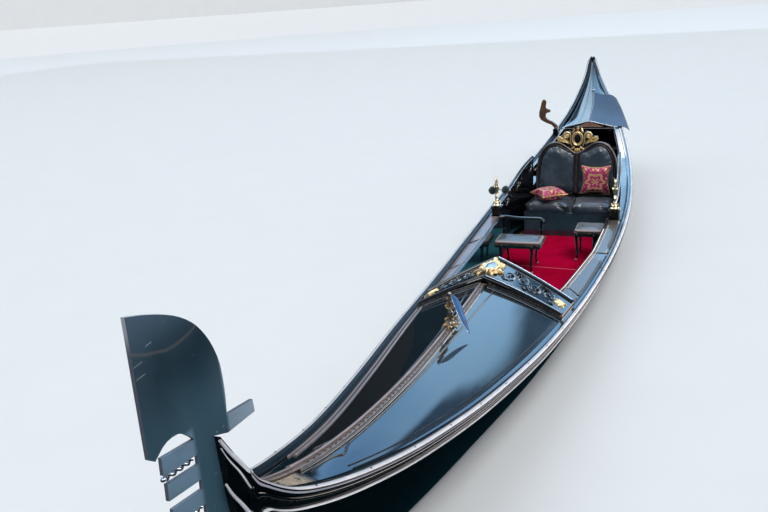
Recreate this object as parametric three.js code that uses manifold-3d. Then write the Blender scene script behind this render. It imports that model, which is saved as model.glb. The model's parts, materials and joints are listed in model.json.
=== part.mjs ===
// Rowed lagoon boat with a raised iron prow, built as separate pieces.
// Millimetres. +X points to the bow, +Y to port, +Z up. The origin lies on the waterline, amidships.
import * as THREE from 'three';
import { mergeVertices } from 'three/addons/utils/BufferGeometryUtils.js';
import Module from 'manifold-3d';

const wasm = await Module();
wasm.setup();

// Driving dimensions
const GAP = 0.3;                 // clearance between pieces that touch
const PLANK = 18;                // side planking
const BOTTOM_THICK = 25;
const RAIL = { width: 52, height: 30, bead: 14 };
const RUB = { depth: 86, height: 26, bulge: 14 };   // half-round on the planking, its depth below the rail
const DECK_THICK = 18;
const DECK_DROP = 8;             // deck edge below the rail's top
const RIDGE = { rise: 150, start: 4900, full: 1200, half: 30, proud: 14, power: 0.7 };
const FLOOR_TOP = -60;
const FLOOR_THICK = 20;
const CARPET_THICK = 6;
const COLUMNS = 29;              // cross-sections of the hull
const BELLY = 0.12;              // roundness of the flaring sides
const FORE = { x: 4600, boardEdge: 1950, boardRidge: 1697, aftEdge: 1655, aftRidge: 1240 };
const BULKHEAD_X = 1700;
const SIDE_END_X = -600;         // where the side decks give way to the seat's wings
const AFT_DECK_X = -3700;
const BUTTS = { side: [1700, -2000, -3400], rail: [0], bottom: [0] };   // joints between lengths of timber

// The hull's stations, from bow to stern. The rail's point, then the chine's point, then the forward
// curve of the ends between them. Half-breadths differ, because the real hull leans to starboard.
const STATIONS = [
  // x, rail z, port, star, chine x, chine z, chine port, chine star, rake
  [4975, 1130, 61, 62, 4450, 280, 14, 14, 165],
  [4920, 1046, 80, 82, 4400, 255, 20, 20, 120],
  [4750, 914, 128, 138, 4300, 215, 34, 34, 70],
  [4400, 766, 203, 206, 4100, 150, 62, 60, 25],
  [3900, 626, 307, 275, 3700, 75, 118, 105, 0],
  [3200, 499, 440, 373, 3100, 0, 205, 170, 0],
  [2300, 414, 598, 462, 2250, -80, 320, 235, 0],
  [1200, 361, 731, 514, 1200, -145, 410, 285, 0],
  [0, 350, 820, 551, 0, -175, 455, 310, 0],
  [-1200, 390, 837, 543, -1200, -180, 462, 305, 0],
  [-2400, 483, 765, 463, -2350, -150, 400, 250, 0],
  [-3400, 666, 630, 325, -3250, -75, 290, 160, 0],
  [-4200, 905, 455, 186, -3900, 30, 160, 75, 0],
  [-4900, 1213, 211, 86, -4450, 200, 55, 30, -60],
  [-5360, 1505, 42, 42, -4700, 380, 14, 14, -110],
].map(([x, rail, port, star, chineX, chineZ, chinePort, chineStar, rake]) => (
  { x, rail, port, star, chineX, chineZ, chinePort, chineStar, rake }));

// Materials
const look = (color, roughness, metalness = 0) => new THREE.MeshStandardMaterial({ color, roughness,
  metalness });
const MATERIALS = {
  gloss: look(0x07080b, 0.12),
  wood: look(0x5a3f2a, 0.6),
  walnut: look(0x5b3a22, 0.45),
  steel: look(0xb9bcc0, 0.28, 1),
  brass: look(0xc79a45, 0.3, 1),
  gilt: look(0xd2a24c, 0.35, 1),
  leather: look(0x101318, 0.38),
  damask: look(0xa81548, 0.7),
  carpet: look(0xa80f1c, 0.95),
  cloth: look(0x1d5fae, 0.8),
  mat: look(0x2c4c78, 0.9),
};

// Geometry helpers
const V = (x, y, z) => new THREE.Vector3(x, y, z);
const lerp = THREE.MathUtils.lerp;
const clamp = THREE.MathUtils.clamp;
const radians = THREE.MathUtils.degToRad;
const range = (n) => Array.from({ length: n }, (_, i) => i);

function geometryOf(points, faces) {
  let volume = 0;
  for (const [a, b, c] of faces) {
    volume += points[a].dot(V().crossVectors(points[b], points[c]));
  }
  const outward = volume < 0 ? faces.map(([a, b, c]) => [a, c, b]) : faces;
  const geometry = new THREE.BufferGeometry().setFromPoints(points);
  geometry.setIndex(outward.flat());
  return geometry;
}

function capFaces(ring, first) {
  const normal = V(0, 0, 0);
  ring.forEach((p, i) => normal.add(V().crossVectors(p, ring[(i + 1) % ring.length])));
  const [ax, ay, az] = [Math.abs(normal.x), Math.abs(normal.y), Math.abs(normal.z)];
  const flat = ring.map((p) => {
    if (ax >= ay && ax >= az) return new THREE.Vector2(p.y, p.z);
    return ay >= az ? new THREE.Vector2(p.z, p.x) : new THREE.Vector2(p.x, p.y);
  });
  return THREE.ShapeUtils.triangulateShape(flat, []).map((face) => face.map((i) => i + first));
}

// A closed solid through a row of rings that have the same number of points.
function loft(rings) {
  const size = rings[0].length;
  const points = rings.flat();
  const faces = capFaces(rings[0], 0).map(([a, b, c]) => [a, c, b]);
  for (let i = 0; i + 1 < rings.length; i += 1) {
    for (let j = 0; j < size; j += 1) {
      const a = i * size + j;
      const b = i * size + ((j + 1) % size);
      const c = b + size;
      const d = a + size;
      const even = points[a].distanceToSquared(points[c]) <= points[b].distanceToSquared(points[d]);
      faces.push(...(even ? [[a, b, c], [a, c, d]] : [[a, b, d], [b, c, d]]));
    }
  }
  const last = (rings.length - 1) * size;
  faces.push(...capFaces(rings[rings.length - 1], last));
  return fixCaps(points, faces, size, last);
}

// Turns each end cap so that its edges run against those of the walls.
function fixCaps(points, faces, size, last) {
  const wallEdges = new Set();
  const isCap = (f) => f.every((i) => i < size) || f.every((i) => i >= last);
  faces.filter((f) => !isCap(f)).forEach(([a, b, c]) => {
    wallEdges.add(`${a},${b}`).add(`${b},${c}`).add(`${c},${a}`);
  });
  const turn = (low, high) => faces.some((f) => f.every((i) => i >= low && i < high)
    && f.some((i, k) => wallEdges.has(`${i},${f[(k + 1) % 3]}`)));
  const flipFirst = turn(0, size);
  const flipLast = turn(last, last + size);
  return geometryOf(points, faces.map((f) => {
    const flip = (flipFirst && f.every((i) => i < size)) || (flipLast && f.every((i) => i >= last));
    return flip ? [f[0], f[2], f[1]] : f;
  }));
}

const box = (x0, x1, y0, y1, z0, z1) => new THREE.BoxGeometry(x1 - x0, y1 - y0, z1 - z0)
  .translate((x0 + x1) / 2, (y0 + y1) / 2, (z0 + z1) / 2);

function solidOf(geometry) {
  const bare = geometry.clone();
  ['normal', 'uv'].forEach((name) => bare.deleteAttribute(name));
  const merged = mergeVertices(bare, 1e-3);
  return new wasm.Manifold(new wasm.Mesh({
    numProp: 3,
    vertProperties: new Float32Array(merged.attributes.position.array),
    triVerts: new Uint32Array(merged.index.array),
  }));
}

function geometryFrom(solid) {
  const mesh = solid.getMesh();
  const geometry = new THREE.BufferGeometry();
  geometry.setAttribute('position', new THREE.BufferAttribute(new Float32Array(mesh.vertProperties), 3));
  geometry.setIndex(Array.from(mesh.triVerts));
  return geometry;
}

const join = (...pieces) => geometryFrom(pieces.map(solidOf).reduce((a, b) => a.add(b)));
const cut = (piece, ...tools) => geometryFrom(tools.map(solidOf).reduce((a, b) => a.subtract(b),
  solidOf(piece)));
const common = (a, b) => geometryFrom(solidOf(a).intersect(solidOf(b)));

// A flat outline of [a, b] pairs, made thick. Plane 'xz' gets its thickness along Y, 'yz' along X.
function plate(outline, plane, from, to, curveSegments = 8) {
  const shape = outline instanceof THREE.Shape ? outline : new THREE.Shape(outline.map(([a,
    b]) => new THREE.Vector2(a, b)));
  const geometry = new THREE.ExtrudeGeometry(shape, { depth: to - from, bevelEnabled: false,
    curveSegments });
  geometry.translate(0, 0, from);
  const basis = {
    xy: [V(1, 0, 0), V(0, 1, 0), V(0, 0, 1)],
    xz: [V(1, 0, 0), V(0, 0, 1), V(0, -1, 0)],
    yz: [V(0, 1, 0), V(0, 0, 1), V(1, 0, 0)],
  }[plane];
  return geometry.applyMatrix4(new THREE.Matrix4().makeBasis(...basis));
}

// A tube along points, of a regular section.
function tube(points, radius, { sides = 8, steps = 12 } = {}) {
  const path = new THREE.CatmullRomCurve3(points.map((p) => V(...p)));
  const section = new THREE.Shape(range(sides).map((i) => new THREE.Vector2(
    radius * Math.cos((2 * Math.PI * i) / sides),
    radius * Math.sin((2 * Math.PI * i) / sides),
  )));
  return new THREE.ExtrudeGeometry(section, { steps, extrudePath: path, bevelEnabled: false });
}

// A turned piece standing on z = 0, from [radius, height] pairs.
function turned(profile, segments = 12) {
  const points = profile.map(([r, z]) => new THREE.Vector2(r, z));
  return new THREE.LatheGeometry(points, segments).rotateX(Math.PI / 2);
}

// Hull form
function column(u) {
  const pair = (a, b) => new THREE.CatmullRomCurve3(STATIONS.map((s) => V(s[a], s[b], 0)), false,
    'catmullrom', 0.5);
  const rail = pair('x', 'rail').getPoint(u);
  const slope = pair('x', 'rail').getTangent(u);
  const chine = pair('chineX', 'chineZ').getPoint(u);
  const breadth = pair('port', 'star').getPoint(u);
  const foot = pair('chinePort', 'chineStar').getPoint(u);
  return {
    x: rail.x,
    rail: rail.y,
    half: { port: breadth.x, star: breadth.y },
    chineX: chine.x,
    chineZ: chine.y,
    chineHalf: { port: foot.x, star: foot.y },
    rake: pair('rake', 'x').getPoint(u).x,
    steep: clamp(Math.hypot(slope.x, slope.y) / Math.abs(slope.x), 1, 2.2),
  };
}
const columns = range(COLUMNS).map((i) => column(i / (COLUMNS - 1)));
const SIDES = { port: 1, star: -1 };
const NODE_SIDE = { port: 'port', star: 'starboard' };

// Values between two columns follow the straight facets of the pieces.
function at(x) {
  const i = clamp(columns.findIndex((c) => c.x <= x), 1, columns.length - 1);
  const [a, b] = [columns[i - 1], columns[i]];
  const k = (x - a.x) / (b.x - a.x);
  return {
    x,
    rail: lerp(a.rail, b.rail, k),
    steep: lerp(a.steep, b.steep, k),
    half: { port: lerp(a.half.port, b.half.port, k), star: lerp(a.half.star, b.half.star, k) },
    inner: {
      port: lerp(railInner(a, 'port'), railInner(b, 'port'), k),
      star: lerp(railInner(a, 'star'), railInner(b, 'star'), k),
    },
  };
}
function columnXs(from, to) {
  return [from, ...columns.map((c) => c.x).filter((x) => x < from - 1 && x > to + 1), to];
}

const railWidth = (c, side) => Math.min(RAIL.width, 0.8 * c.half[side]);
const railInner = (c, side) => c.half[side] - railWidth(c, side) - GAP;
const plankAt = (c, side) => Math.min(PLANK, 0.4 * c.chineHalf[side]);
const ROWS = [0, 1 / 3, 2 / 3, 1];

// A point on the planking: t runs from the chine to the top edge, inset goes towards the middle.
function shellRow(c, side, t, inset) {
  const swell = 4 * t * (1 - t);
  const top = c.rail - RAIL.height * c.steep;
  return V(
    lerp(c.chineX, c.x, t) + c.rake * swell,
    SIDES[side] * (lerp(c.chineHalf[side], c.half[side], t + BELLY * swell) - inset),
    lerp(c.chineZ, top, t),
  );
}
function shellPoint(c, side, t, inset) {
  const k = clamp(Math.floor(t * 3), 0, 2);
  const [a, b] = [shellRow(c, side, ROWS[k], inset), shellRow(c, side, ROWS[k + 1], inset)];
  return a.lerp(b, t * 3 - k);
}

// The share of the planking's height at a depth below the rail.
function shareAt(c, depth) {
  const height = c.rail - RAIL.height * c.steep - c.chineZ;
  return 1 - ((depth - RAIL.height) * c.steep) / height;
}
const RUB_EDGES = [RUB.depth + RUB.height / 2, RUB.depth - RUB.height / 2];

// The columns of one length of timber, between the butts nearest to the stated x values.
function lengthOf(kind, index) {
  const nearest = (x) => columns.reduce((best, c, i) => (
    Math.abs(c.x - x) < Math.abs(columns[best].x - x) ? i : best), 0);
  const ends = [0, ...BUTTS[kind].map(nearest), columns.length - 1];
  return columns.slice(ends[index], ends[index + 1] + 1);
}

// A loft along one length of timber, its forward end drawn back from the butt by the usual clearance.
function loftLength(kind, index, section) {
  return loft(lengthOf(kind, index).map((c, i) => {
    const drawn = index > 0 && i === 0 ? -GAP : 0;
    return section(c).map((p) => p.add(V(drawn, 0, 0)));
  }));
}

// Side planking with the half-round moulding that runs along it below the rail.
function planking(side, index) {
  const [low, high] = RUB_EDGES;
  const moulding = [[low, 0], [low - 4, 0.7 * RUB.bulge], [RUB.depth, RUB.bulge],
    [high + 4, 0.7 * RUB.bulge], [high, 0]];
  return loftLength('side', index, (c) => [
    ...ROWS.slice(0, 3).map((t) => shellRow(c, side, t, 0)),
    ...moulding.map(([depth, out]) => shellPoint(c, side, shareAt(c, depth), -out)),
    shellRow(c, side, 1, 0),
    ...ROWS.toReversed().map((t) => shellRow(c, side, t, plankAt(c, side))),
  ]);
}

// The space between the two sides and rails, a hair inside them, to trim what stands in it.
const HEADROOM = 900;
function hullSpace() {
  const rows = (c, side) => {
    const s = SIDES[side];
    const low = ROWS.map((t) => shellRow(c, side, t, plankAt(c, side) + GAP)
      .add(V(0, 0, t === 0 ? BOTTOM_THICK + GAP : 0)));
    const top = c.rail - RAIL.height * c.steep;
    return [...low, V(c.x, s * railInner(c, side), top), V(c.x, s * railInner(c, side), top + HEADROOM)];
  };
  return loft(columns.map((c) => [...rows(c, 'star'), ...rows(c, 'port').toReversed()]));
}

function bottom(index) {
  return loftLength('bottom', index, (c) => {
    const port = c.chineHalf.port - plankAt(c, 'port') - GAP;
    const star = c.chineHalf.star - plankAt(c, 'star') - GAP;
    const top = c.chineZ + BOTTOM_THICK;
    return [V(c.chineX, -star, c.chineZ), V(c.chineX, port, c.chineZ), V(c.chineX, port, top),
      V(c.chineX, -star, top)];
  });
}

// The rail with its glossy half-round outer edge.
function rail(side, index) {
  const s = SIDES[side];
  const h = RAIL.height;
  return loftLength('rail', index, (c) => {
    const inside = c.half[side] - railWidth(c, side);
    const outside = c.half[side];
    const b = RAIL.bead;
    const section = [[inside, 0], [outside + 2, 0], [outside + b * 0.8, -h * 0.18], [outside + b, -h * 0.45],
      [outside + b * 0.75, -h * 0.8], [outside + 1, GAP - h], [inside, GAP - h]];
    return section.map(([y, z]) => V(c.x, s * y, c.rail + z * c.steep));
  });
}

// Posts at both ends, between the sides and ahead of them.
const STEM = { depth: 50, head: [5035, 1270], foreHalf: 0.5 };
const stemT = [0, 1 / 6, 1 / 3, 1 / 2, 2 / 3, 5 / 6, 1];
const stemFore = (t) => shellPoint(columns[0], 'port', t, 0).x + STEM.depth + GAP;
const stemZ = (t) => shellPoint(columns[0], 'port', t, 0).z;
function stemPost() {
  const c = columns[0];
  const rings = stemT.map((t) => {
    const [port, star] = [shellPoint(c, 'port', t, 0), shellPoint(c, 'star', t, 0)];
    const aft = port.x + GAP;
    return [V(aft, star.y, port.z), V(aft, port.y, port.z),
      V(stemFore(t), port.y * STEM.foreHalf, port.z), V(stemFore(t), star.y * STEM.foreHalf, port.z)];
  });
  const head = [V(c.x + GAP, -c.half.star, c.rail), V(c.x + GAP, c.half.port, c.rail),
    V(STEM.head[0], 29, STEM.head[1]), V(STEM.head[0], -29, STEM.head[1])];
  return loft([...rings, head]);
}
function sternPost() {
  const c = columns[COLUMNS - 1];
  const depth = 40;
  const rings = stemT.map((t) => {
    const [port, star] = [shellPoint(c, 'port', t, 0), shellPoint(c, 'star', t, 0)];
    const fore = port.x - GAP;
    return [V(fore, star.y, port.z), V(fore, port.y, port.z),
      V(fore - depth, port.y * 0.5, port.z), V(fore - depth, star.y * 0.5, port.z)];
  });
  const head = [V(c.x - GAP, -c.half.star, c.rail + 8), V(c.x - GAP, c.half.port, c.rail + 8),
    V(c.x - depth, 20, c.rail + 34), V(c.x - depth, -20, c.rail + 34)];
  return loft([...rings, head]);
}

// The prow iron: a curved blade over a comb of teeth, with a tail down the stem.
const FERRO = { thick: 12, teeth: 6, pitch: 84, tooth: 152, toothHigh: 52, tilt: 29, back: 97,
  firstTooth: 1343, tail: 0.3 };
function ferro() {
  const blade = [[5244, 1748], [5172, 1720], [5111, 1689], [5056, 1649], [5018, 1608], [4982, 1551],
    [4957, 1484],
    [4950, 1428], [4950, 1361], [4957, 1298]];
  const shape = new THREE.Shape();
  shape.moveTo(5307, 1768);
  shape.splineThru(blade.map(([x, z]) => new THREE.Vector2(x, z)));
  [[4810, 1270], [4806, 1224], [4964, 1239], [STEM.head[0] + GAP,
    STEM.head[1] + GAP]].forEach((p) => shape.lineTo(...p));
  // down the stem's face, then back up the front of the comb
  const tail = stemT.toReversed().filter((t) => t >= FERRO.tail);
  tail.forEach((t) => shape.lineTo(stemFore(t) + 2 * GAP, stemZ(t)));
  const low = tail[tail.length - 1];
  shape.lineTo(stemFore(low) + 20, stemZ(low) - 24);
  const faceX = (z) => {
    const i = Math.max(1, stemT.findIndex((t) => stemZ(t) >= Math.min(z, stemZ(1) - 1)));
    const k = clamp((z - stemZ(stemT[i - 1])) / (stemZ(stemT[i]) - stemZ(stemT[i - 1])), 0, 1);
    return lerp(stemFore(stemT[i - 1]), stemFore(stemT[i]), k);
  };
  range(FERRO.teeth).toReversed().forEach((k) => {
    const top = FERRO.firstTooth - k * FERRO.pitch;
    const root = faceX(top - 40) + FERRO.back;
    const tip = root + FERRO.tooth - k * 4;
    [[root, top - FERRO.tilt - FERRO.toothHigh], [tip, top - FERRO.toothHigh], [tip - 4, top],
      [root + 3, top - FERRO.tilt]]
      .forEach((p) => shape.lineTo(...p));
  });
  shape.splineThru([[5147, 1338], [5185, 1368], [5241, 1374], [5282, 1356],
    [5294, 1348]].map((p) => new THREE.Vector2(...p)));
  shape.lineTo(5318, 1368);
  return plate(shape, 'xz', -FERRO.thick / 2, FERRO.thick / 2, 2);
}

// Foredeck: straight lines from the ridge out to the rail, turning into the V at its after end.
const rise = (x) => RIDGE.rise * clamp((RIDGE.start - x) / (RIDGE.start - RIDGE.full), 0,
  1) ** RIDGE.power;
function ridgeFor(edgeX) {
  const { x, boardEdge, boardRidge, aftEdge, aftRidge } = FORE;
  if (edgeX > boardEdge) return lerp(x, boardRidge, (x - edgeX) / (x - boardEdge));
  return lerp(boardRidge, aftRidge, (boardEdge - edgeX) / (boardEdge - aftEdge));
}
const deckEdges = [...columnXs(FORE.x, FORE.boardEdge),
  ...columnXs(FORE.boardEdge, FORE.aftEdge).slice(1)];
const boardEdges = deckEdges.filter((x) => x <= FORE.boardEdge);
const centreTop = (x) => at(x).rail - DECK_DROP * at(x).steep + rise(x);
function onDeck(side, edgeX, v, lift) {
  const ridgeX = ridgeFor(edgeX);
  const centre = V(ridgeX, 0, centreTop(ridgeX));
  const edge = V(edgeX, SIDES[side] * at(edgeX).inner[side],
    at(edgeX).rail - DECK_DROP * at(edgeX).steep);
  return centre.lerp(edge, v).add(V(0, 0, lift));
}
const ridgeShare = (side, edgeX) => (RIDGE.half + GAP) / at(edgeX).inner[side];

function foredeck(side) {
  return loft(deckEdges.map((e) => {
    const v0 = ridgeShare(side, e);
    return [onDeck(side, e, v0, 0), onDeck(side, e, 1, 0), onDeck(side, e, 1, -DECK_THICK),
      onDeck(side, e, v0, -DECK_THICK)];
  }));
}
function foredeckRidge() {
  const xs = deckEdges.map(ridgeFor).filter((x) => x > FORE.boardRidge + RIDGE.half);
  xs.push(FORE.boardRidge + RIDGE.half * 0.65);
  const section = [[-1, -DECK_THICK], [1, -DECK_THICK], [1, 5], [0.55, RIDGE.proud],
    [-0.55, RIDGE.proud], [-1, 5]];
  return loft(xs.map((x) => section.map(([y, z]) => V(x, y * RIDGE.half, centreTop(x) + z))));
}
function bowCap() {
  return loft(columnXs(4974, FORE.x + GAP).map((x) => {
    const s = at(x);
    const edge = s.rail - DECK_DROP * s.steep;
    const low = edge - DECK_THICK;
    return [V(x, -s.inner.star, edge), V(x, 0, edge + rise(x)), V(x, s.inner.port, edge),
      V(x, s.inner.port, low), V(x, 0, low + rise(x)), V(x, -s.inner.star, low)];
  }));
}

// The carved board that closes the foredeck in a V.
const BOARD = { centre: 50, edge: 28 };
function vBoard(side) {
  return loft(boardEdges.map((e) => {
    const v0 = ridgeShare(side, e);
    const seam = 0.0004;
    return [onDeck(side, e, seam, GAP), onDeck(side, e, v0, GAP), onDeck(side, e, 1, GAP),
      onDeck(side, e, 1, BOARD.edge), onDeck(side, e, seam, BOARD.centre)];
  }));
}
// Brass stand on the ridge, with its narrow pennant.
const STAND_X = 2560;
function flagStand() {
  const foot = centreTop(STAND_X) + RIDGE.proud + 2;
  const profile = [[0, 0], [26, 0], [26, 8], [12, 16], [8, 60], [16, 72], [8, 84], [7, 150], [15, 165],
    [15, 185], [6, 200],
    [9, 214], [0, 224]];
  const ring = new THREE.TorusGeometry(20, 5, 6, 12).rotateX(Math.PI / 2).translate(STAND_X, 0,
    foot + 118);
  return join(turned(profile, 10).translate(STAND_X, 0, foot), ring);
}
function pennant() {
  const top = centreTop(STAND_X) + 232;
  const turn = radians(16.5);
  const across = (x, y, z, w, t) => V(x - w * Math.sin(turn) + t * Math.cos(turn),
    y + w * Math.cos(turn) + t * Math.sin(turn), z);
  const section = (x, y, z, w, t) => [across(x, y, z, -w, -t), across(x, y, z, -w, t),
    across(x, y, z, w, t), across(x, y, z, w, -t)];
  const rows = [[2564, 17.2, top - 6, 8, 3], [2577, 45, top - 42, 21, 4], [2600, 73, top - 92, 24, 4],
    [2630, 109, top - 154, 17, 4], [2658, 148, top - 214, 3, 2]];
  return loft(rows.map((r) => section(...r)));
}

// Locker front under the foredeck, with two small doors.
const LOCKER = { half: 290, low: -20, high: 300, thick: 16, clear: 5, pin: 5 };
const HINGE = { x: BULKHEAD_X - 6, y: LOCKER.half - 2, zones: [[20, 60], [220, 260]] };
function pinRing(y, from, to) {
  return new THREE.CylinderGeometry(LOCKER.pin, LOCKER.pin, to - from, 10).rotateX(Math.PI / 2)
    .translate(HINGE.x, y, (from + to) / 2);
}
function foreBulkhead(space) {
  const edge = at(BULKHEAD_X);
  const under = (side, y) => {
    const e = boardEdges[0];
    const v = Math.abs(y) / at(e).inner[side];
    return onDeck(side, e, v, 0).z - DECK_THICK - 3;
  };
  const top = Math.min(under('port', 0), under('star', 0));
  const outline = [[-edge.inner.star, FLOOR_TOP + GAP], [edge.inner.port, FLOOR_TOP + GAP],
    [edge.inner.port, edge.rail - RAIL.height - 4], [0, top - 12],
      [-edge.inner.star, edge.rail - RAIL.height - 4]];
  const board = plate(outline, 'yz', BULKHEAD_X, BULKHEAD_X + LOCKER.thick);
  const opening = box(BULKHEAD_X - 9, BULKHEAD_X + 40, -LOCKER.half, LOCKER.half, LOCKER.low,
    LOCKER.high);
  const knuckles = Object.values(SIDES).flatMap((s) => HINGE.zones.map(([low, high]) => join(
    pinRing(s * HINGE.y, high + 0.5, high + 26),
    box(HINGE.x, BULKHEAD_X + 2, ...[s * (HINGE.y - 1), s * (HINGE.y + 8)].sort((a, b) => a - b),
      high + 0.5, high + 26),
  )));
  return join(cut(common(board, space), opening), ...knuckles);
}
function lockerDoor(side) {
  const s = SIDES[side];
  const out = LOCKER.half - LOCKER.clear - 2;
  const [y0, y1] = [s * 2.5, s * out].sort((a, b) => a - b);
  const panel = box(BULKHEAD_X, BULKHEAD_X + LOCKER.thick, y0, y1, LOCKER.low + LOCKER.clear,
    LOCKER.high - LOCKER.clear);
  const knuckles = HINGE.zones.flatMap(([low, high]) => [
    pinRing(s * HINGE.y, low, high),
    box(HINGE.x, BULKHEAD_X + 2, ...[s * (HINGE.y - 12), s * HINGE.y].sort((a, b) => a - b), low, high),
  ]);
  const knob = new THREE.SphereGeometry(9, 8, 6).translate(BULKHEAD_X - 8, s * 34, 140);
  return join(panel, knob, ...knuckles);
}

// Cockpit
const COAMING = 14;
const INSIDE = {
  // x and the coaming's inner face
  port: [[1700, 430], [1310, 505], [380, 620], [SIDE_END_X, 660]],
  star: [[1700, 345], [1120, 355], [130, 362], [SIDE_END_X, 372]],
};
function inside(side, x) {
  const line = INSIDE[side];
  const i = clamp(line.findIndex(([px]) => px <= x), 1, line.length - 1);
  const [[x0, y0], [x1, y1]] = [line[i - 1], line[i]];
  return lerp(y0, y1, (x - x0) / (x1 - x0));
}
const lineXs = (side, from, to) => [...new Set([from, to, ...INSIDE[side].map(([x]) => x),
  ...columns.map((c) => c.x)])]
  .filter((x) => x <= from && x >= to).sort((a, b) => b - a);

// Where the V-board's after edge crosses the coaming.
const vLineX = (y, side) => lerp(FORE.aftRidge, FORE.aftEdge, y / at(FORE.aftEdge).inner[side]);
function coaming(side, space) {
  const s = SIDES[side];
  const turn = vLineX(inside(side, 1540), side) - 8;
  const ring = (x, top) => {
    const y = inside(side, x);
    return [V(x, s * y, FLOOR_TOP + GAP), V(x, s * (y + COAMING), FLOOR_TOP + GAP),
      V(x, s * (y + COAMING), top), V(x, s * y, top)];
  };
  const under = (x) => at(x).rail - RAIL.height - 6;
  const over = (x) => at(x).rail - DECK_DROP + 6;
  return common(loft([
    ...[BULKHEAD_X - 30, turn + 1].map((x) => ring(x, under(x))),
    ...lineXs(side, turn, SIDE_END_X).map((x) => ring(x, over(x))),
  ]), space);
}

// Side deck: from the V-board back to the after deck, outboard of coaming, wing and well.
const WING = {
  // x, y of the inner face, top z
  port: [[-700, 690, 430], [-1000, 700, 480], [-1300, 700, 600], [-1500, 690, 700], [-1730, 672, 790]],
  star: [[-700, 442, 430], [-1000, 420, 470], [-1300, 370, 575], [-1500, 320, 665], [-1700, 246, 750]],
};
const WING_THICK = 26;
const WELL = { from: -2080, to: AFT_DECK_X + 30, thick: 16, proud: 26 };
const ARCH = { thick: 20, band: 46 };
const wellHalf = (side, x) => at(x).inner[side] - 62 - 40 * Math.sqrt(clamp(1 - (WELL.from - x) / 260,
  0, 1));
function sideDeck(side) {
  const s = SIDES[side];
  const [postX, backX, crossX] = [POST.x0 - 4, WING[side][4][0] - 8, SEAT.x0 - 26];
  const wingOut = (x) => {
    const line = WING[side];
    const i = clamp(line.findIndex(([px]) => px <= x), 1, line.length - 1);
    const [[x0, y0], [x1, y1]] = [line[i - 1], line[i]];
    return lerp(y0, y1, (x - x0) / (x1 - x0)) + WING_THICK + 6;
  };
  const innerAt = (x) => {
    if (x >= SIDE_END_X) return inside(side, x) + COAMING + GAP;
    if (x >= postX) return POST[side][1] + 2;
    if (x >= backX) return wingOut(x);
    if (x >= crossX) return SEAT.backHalf + s * SEAT.mid + 14;
    if (x >= WELL.from) return GAP / 2;
    return wellHalf(side, x) + WELL.thick + GAP;
  };
  const ring = (xOut, xIn) => {
    const a = at(xOut);
    const top = a.rail - DECK_DROP;
    const yIn = Math.min(innerAt(xIn), a.inner[side] - 5);
    const inTop = at(xIn).rail - DECK_DROP;
    return [V(xIn, s * yIn, inTop), V(xOut, s * a.inner[side], top),
      V(xOut, s * a.inner[side], top - DECK_THICK), V(xIn, s * yIn, inTop - DECK_THICK)];
  };
  const start = FORE.aftEdge - 1;
  const startIn = vLineX(inside(side, 1540) + COAMING, side) - 1;
  const end = AFT_DECK_X + ARCH.thick + GAP;
  const steps = [SIDE_END_X, postX, backX, crossX, WELL.from].flatMap((x) => [x, x - 1]);
  const xs = [...new Set([...columns.map((c) => c.x), ...INSIDE[side].map(([x]) => x),
    ...WING[side].map(([x]) => x), ...steps,
    WELL.from - 60, WELL.from - 260, end])].filter((x) => x < startIn - 30 && x >= end).sort((p,
      q) => q - p);
  return loft([ring(start, startIn), ...xs.map((x) => ring(x, x))]);
}

function floorBoards(space) {
  return common(box(-1980, BULKHEAD_X + 900, -700, 900, FLOOR_TOP - FLOOR_THICK, FLOOR_TOP), space);
}
function carpet(space) {
  const [from, to] = [BULKHEAD_X - 4, -1318];
  const edge = (side, x) => (x >= SIDE_END_X ? inside(side, x) : inside(side, SIDE_END_X)) - 3;
  const xs = [from, 1310, 1120, 380, 130, SIDE_END_X, to];
  const outline = [...xs.map((x) => [x, edge('port', x)]),
    ...xs.toReversed().map((x) => [x, -edge('star', x)])];
  return common(plate(outline, 'xy', FLOOR_TOP + GAP, FLOOR_TOP + GAP + CARPET_THICK), space);
}

// Love seat
const SEAT = { x0: -1860, x1: -1325, y0: -285, y0Aft: -222, y1: 655, top: 205, mid: 215, cushion: 110,
  lean: radians(9),
  backX: -1760, backHalf: 450 };
const seatFloor = FLOOR_TOP + GAP;
const seatBase = (space) => common(plate([[SEAT.x0, SEAT.y0Aft], [SEAT.x1, SEAT.y0], [SEAT.x1, SEAT.y1],
  [SEAT.x0, SEAT.y1]],
  'xy', seatFloor, SEAT.top), space);
function seatCushion(side) {
  const [yAft, yFore, y1] = side === 'port'
    ? [SEAT.mid + 2, SEAT.mid + 2, SEAT.y1 - 2] : [SEAT.y0Aft - 6, SEAT.y0 + 2, SEAT.mid - 2];
  const inset = (z, d) => [V(SEAT.backX + 40 + d, yAft + d, z), V(SEAT.x1 + 22 - d, yFore + d, z),
    V(SEAT.x1 + 22 - d, y1 - d, z), V(SEAT.backX + 40 + d, y1 - d, z)];
  const low = SEAT.top + GAP;
  return loft([inset(low, 14), inset(low + 26, 0), inset(low + 84, 0), inset(low + SEAT.cushion, 26)]);
}
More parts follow.
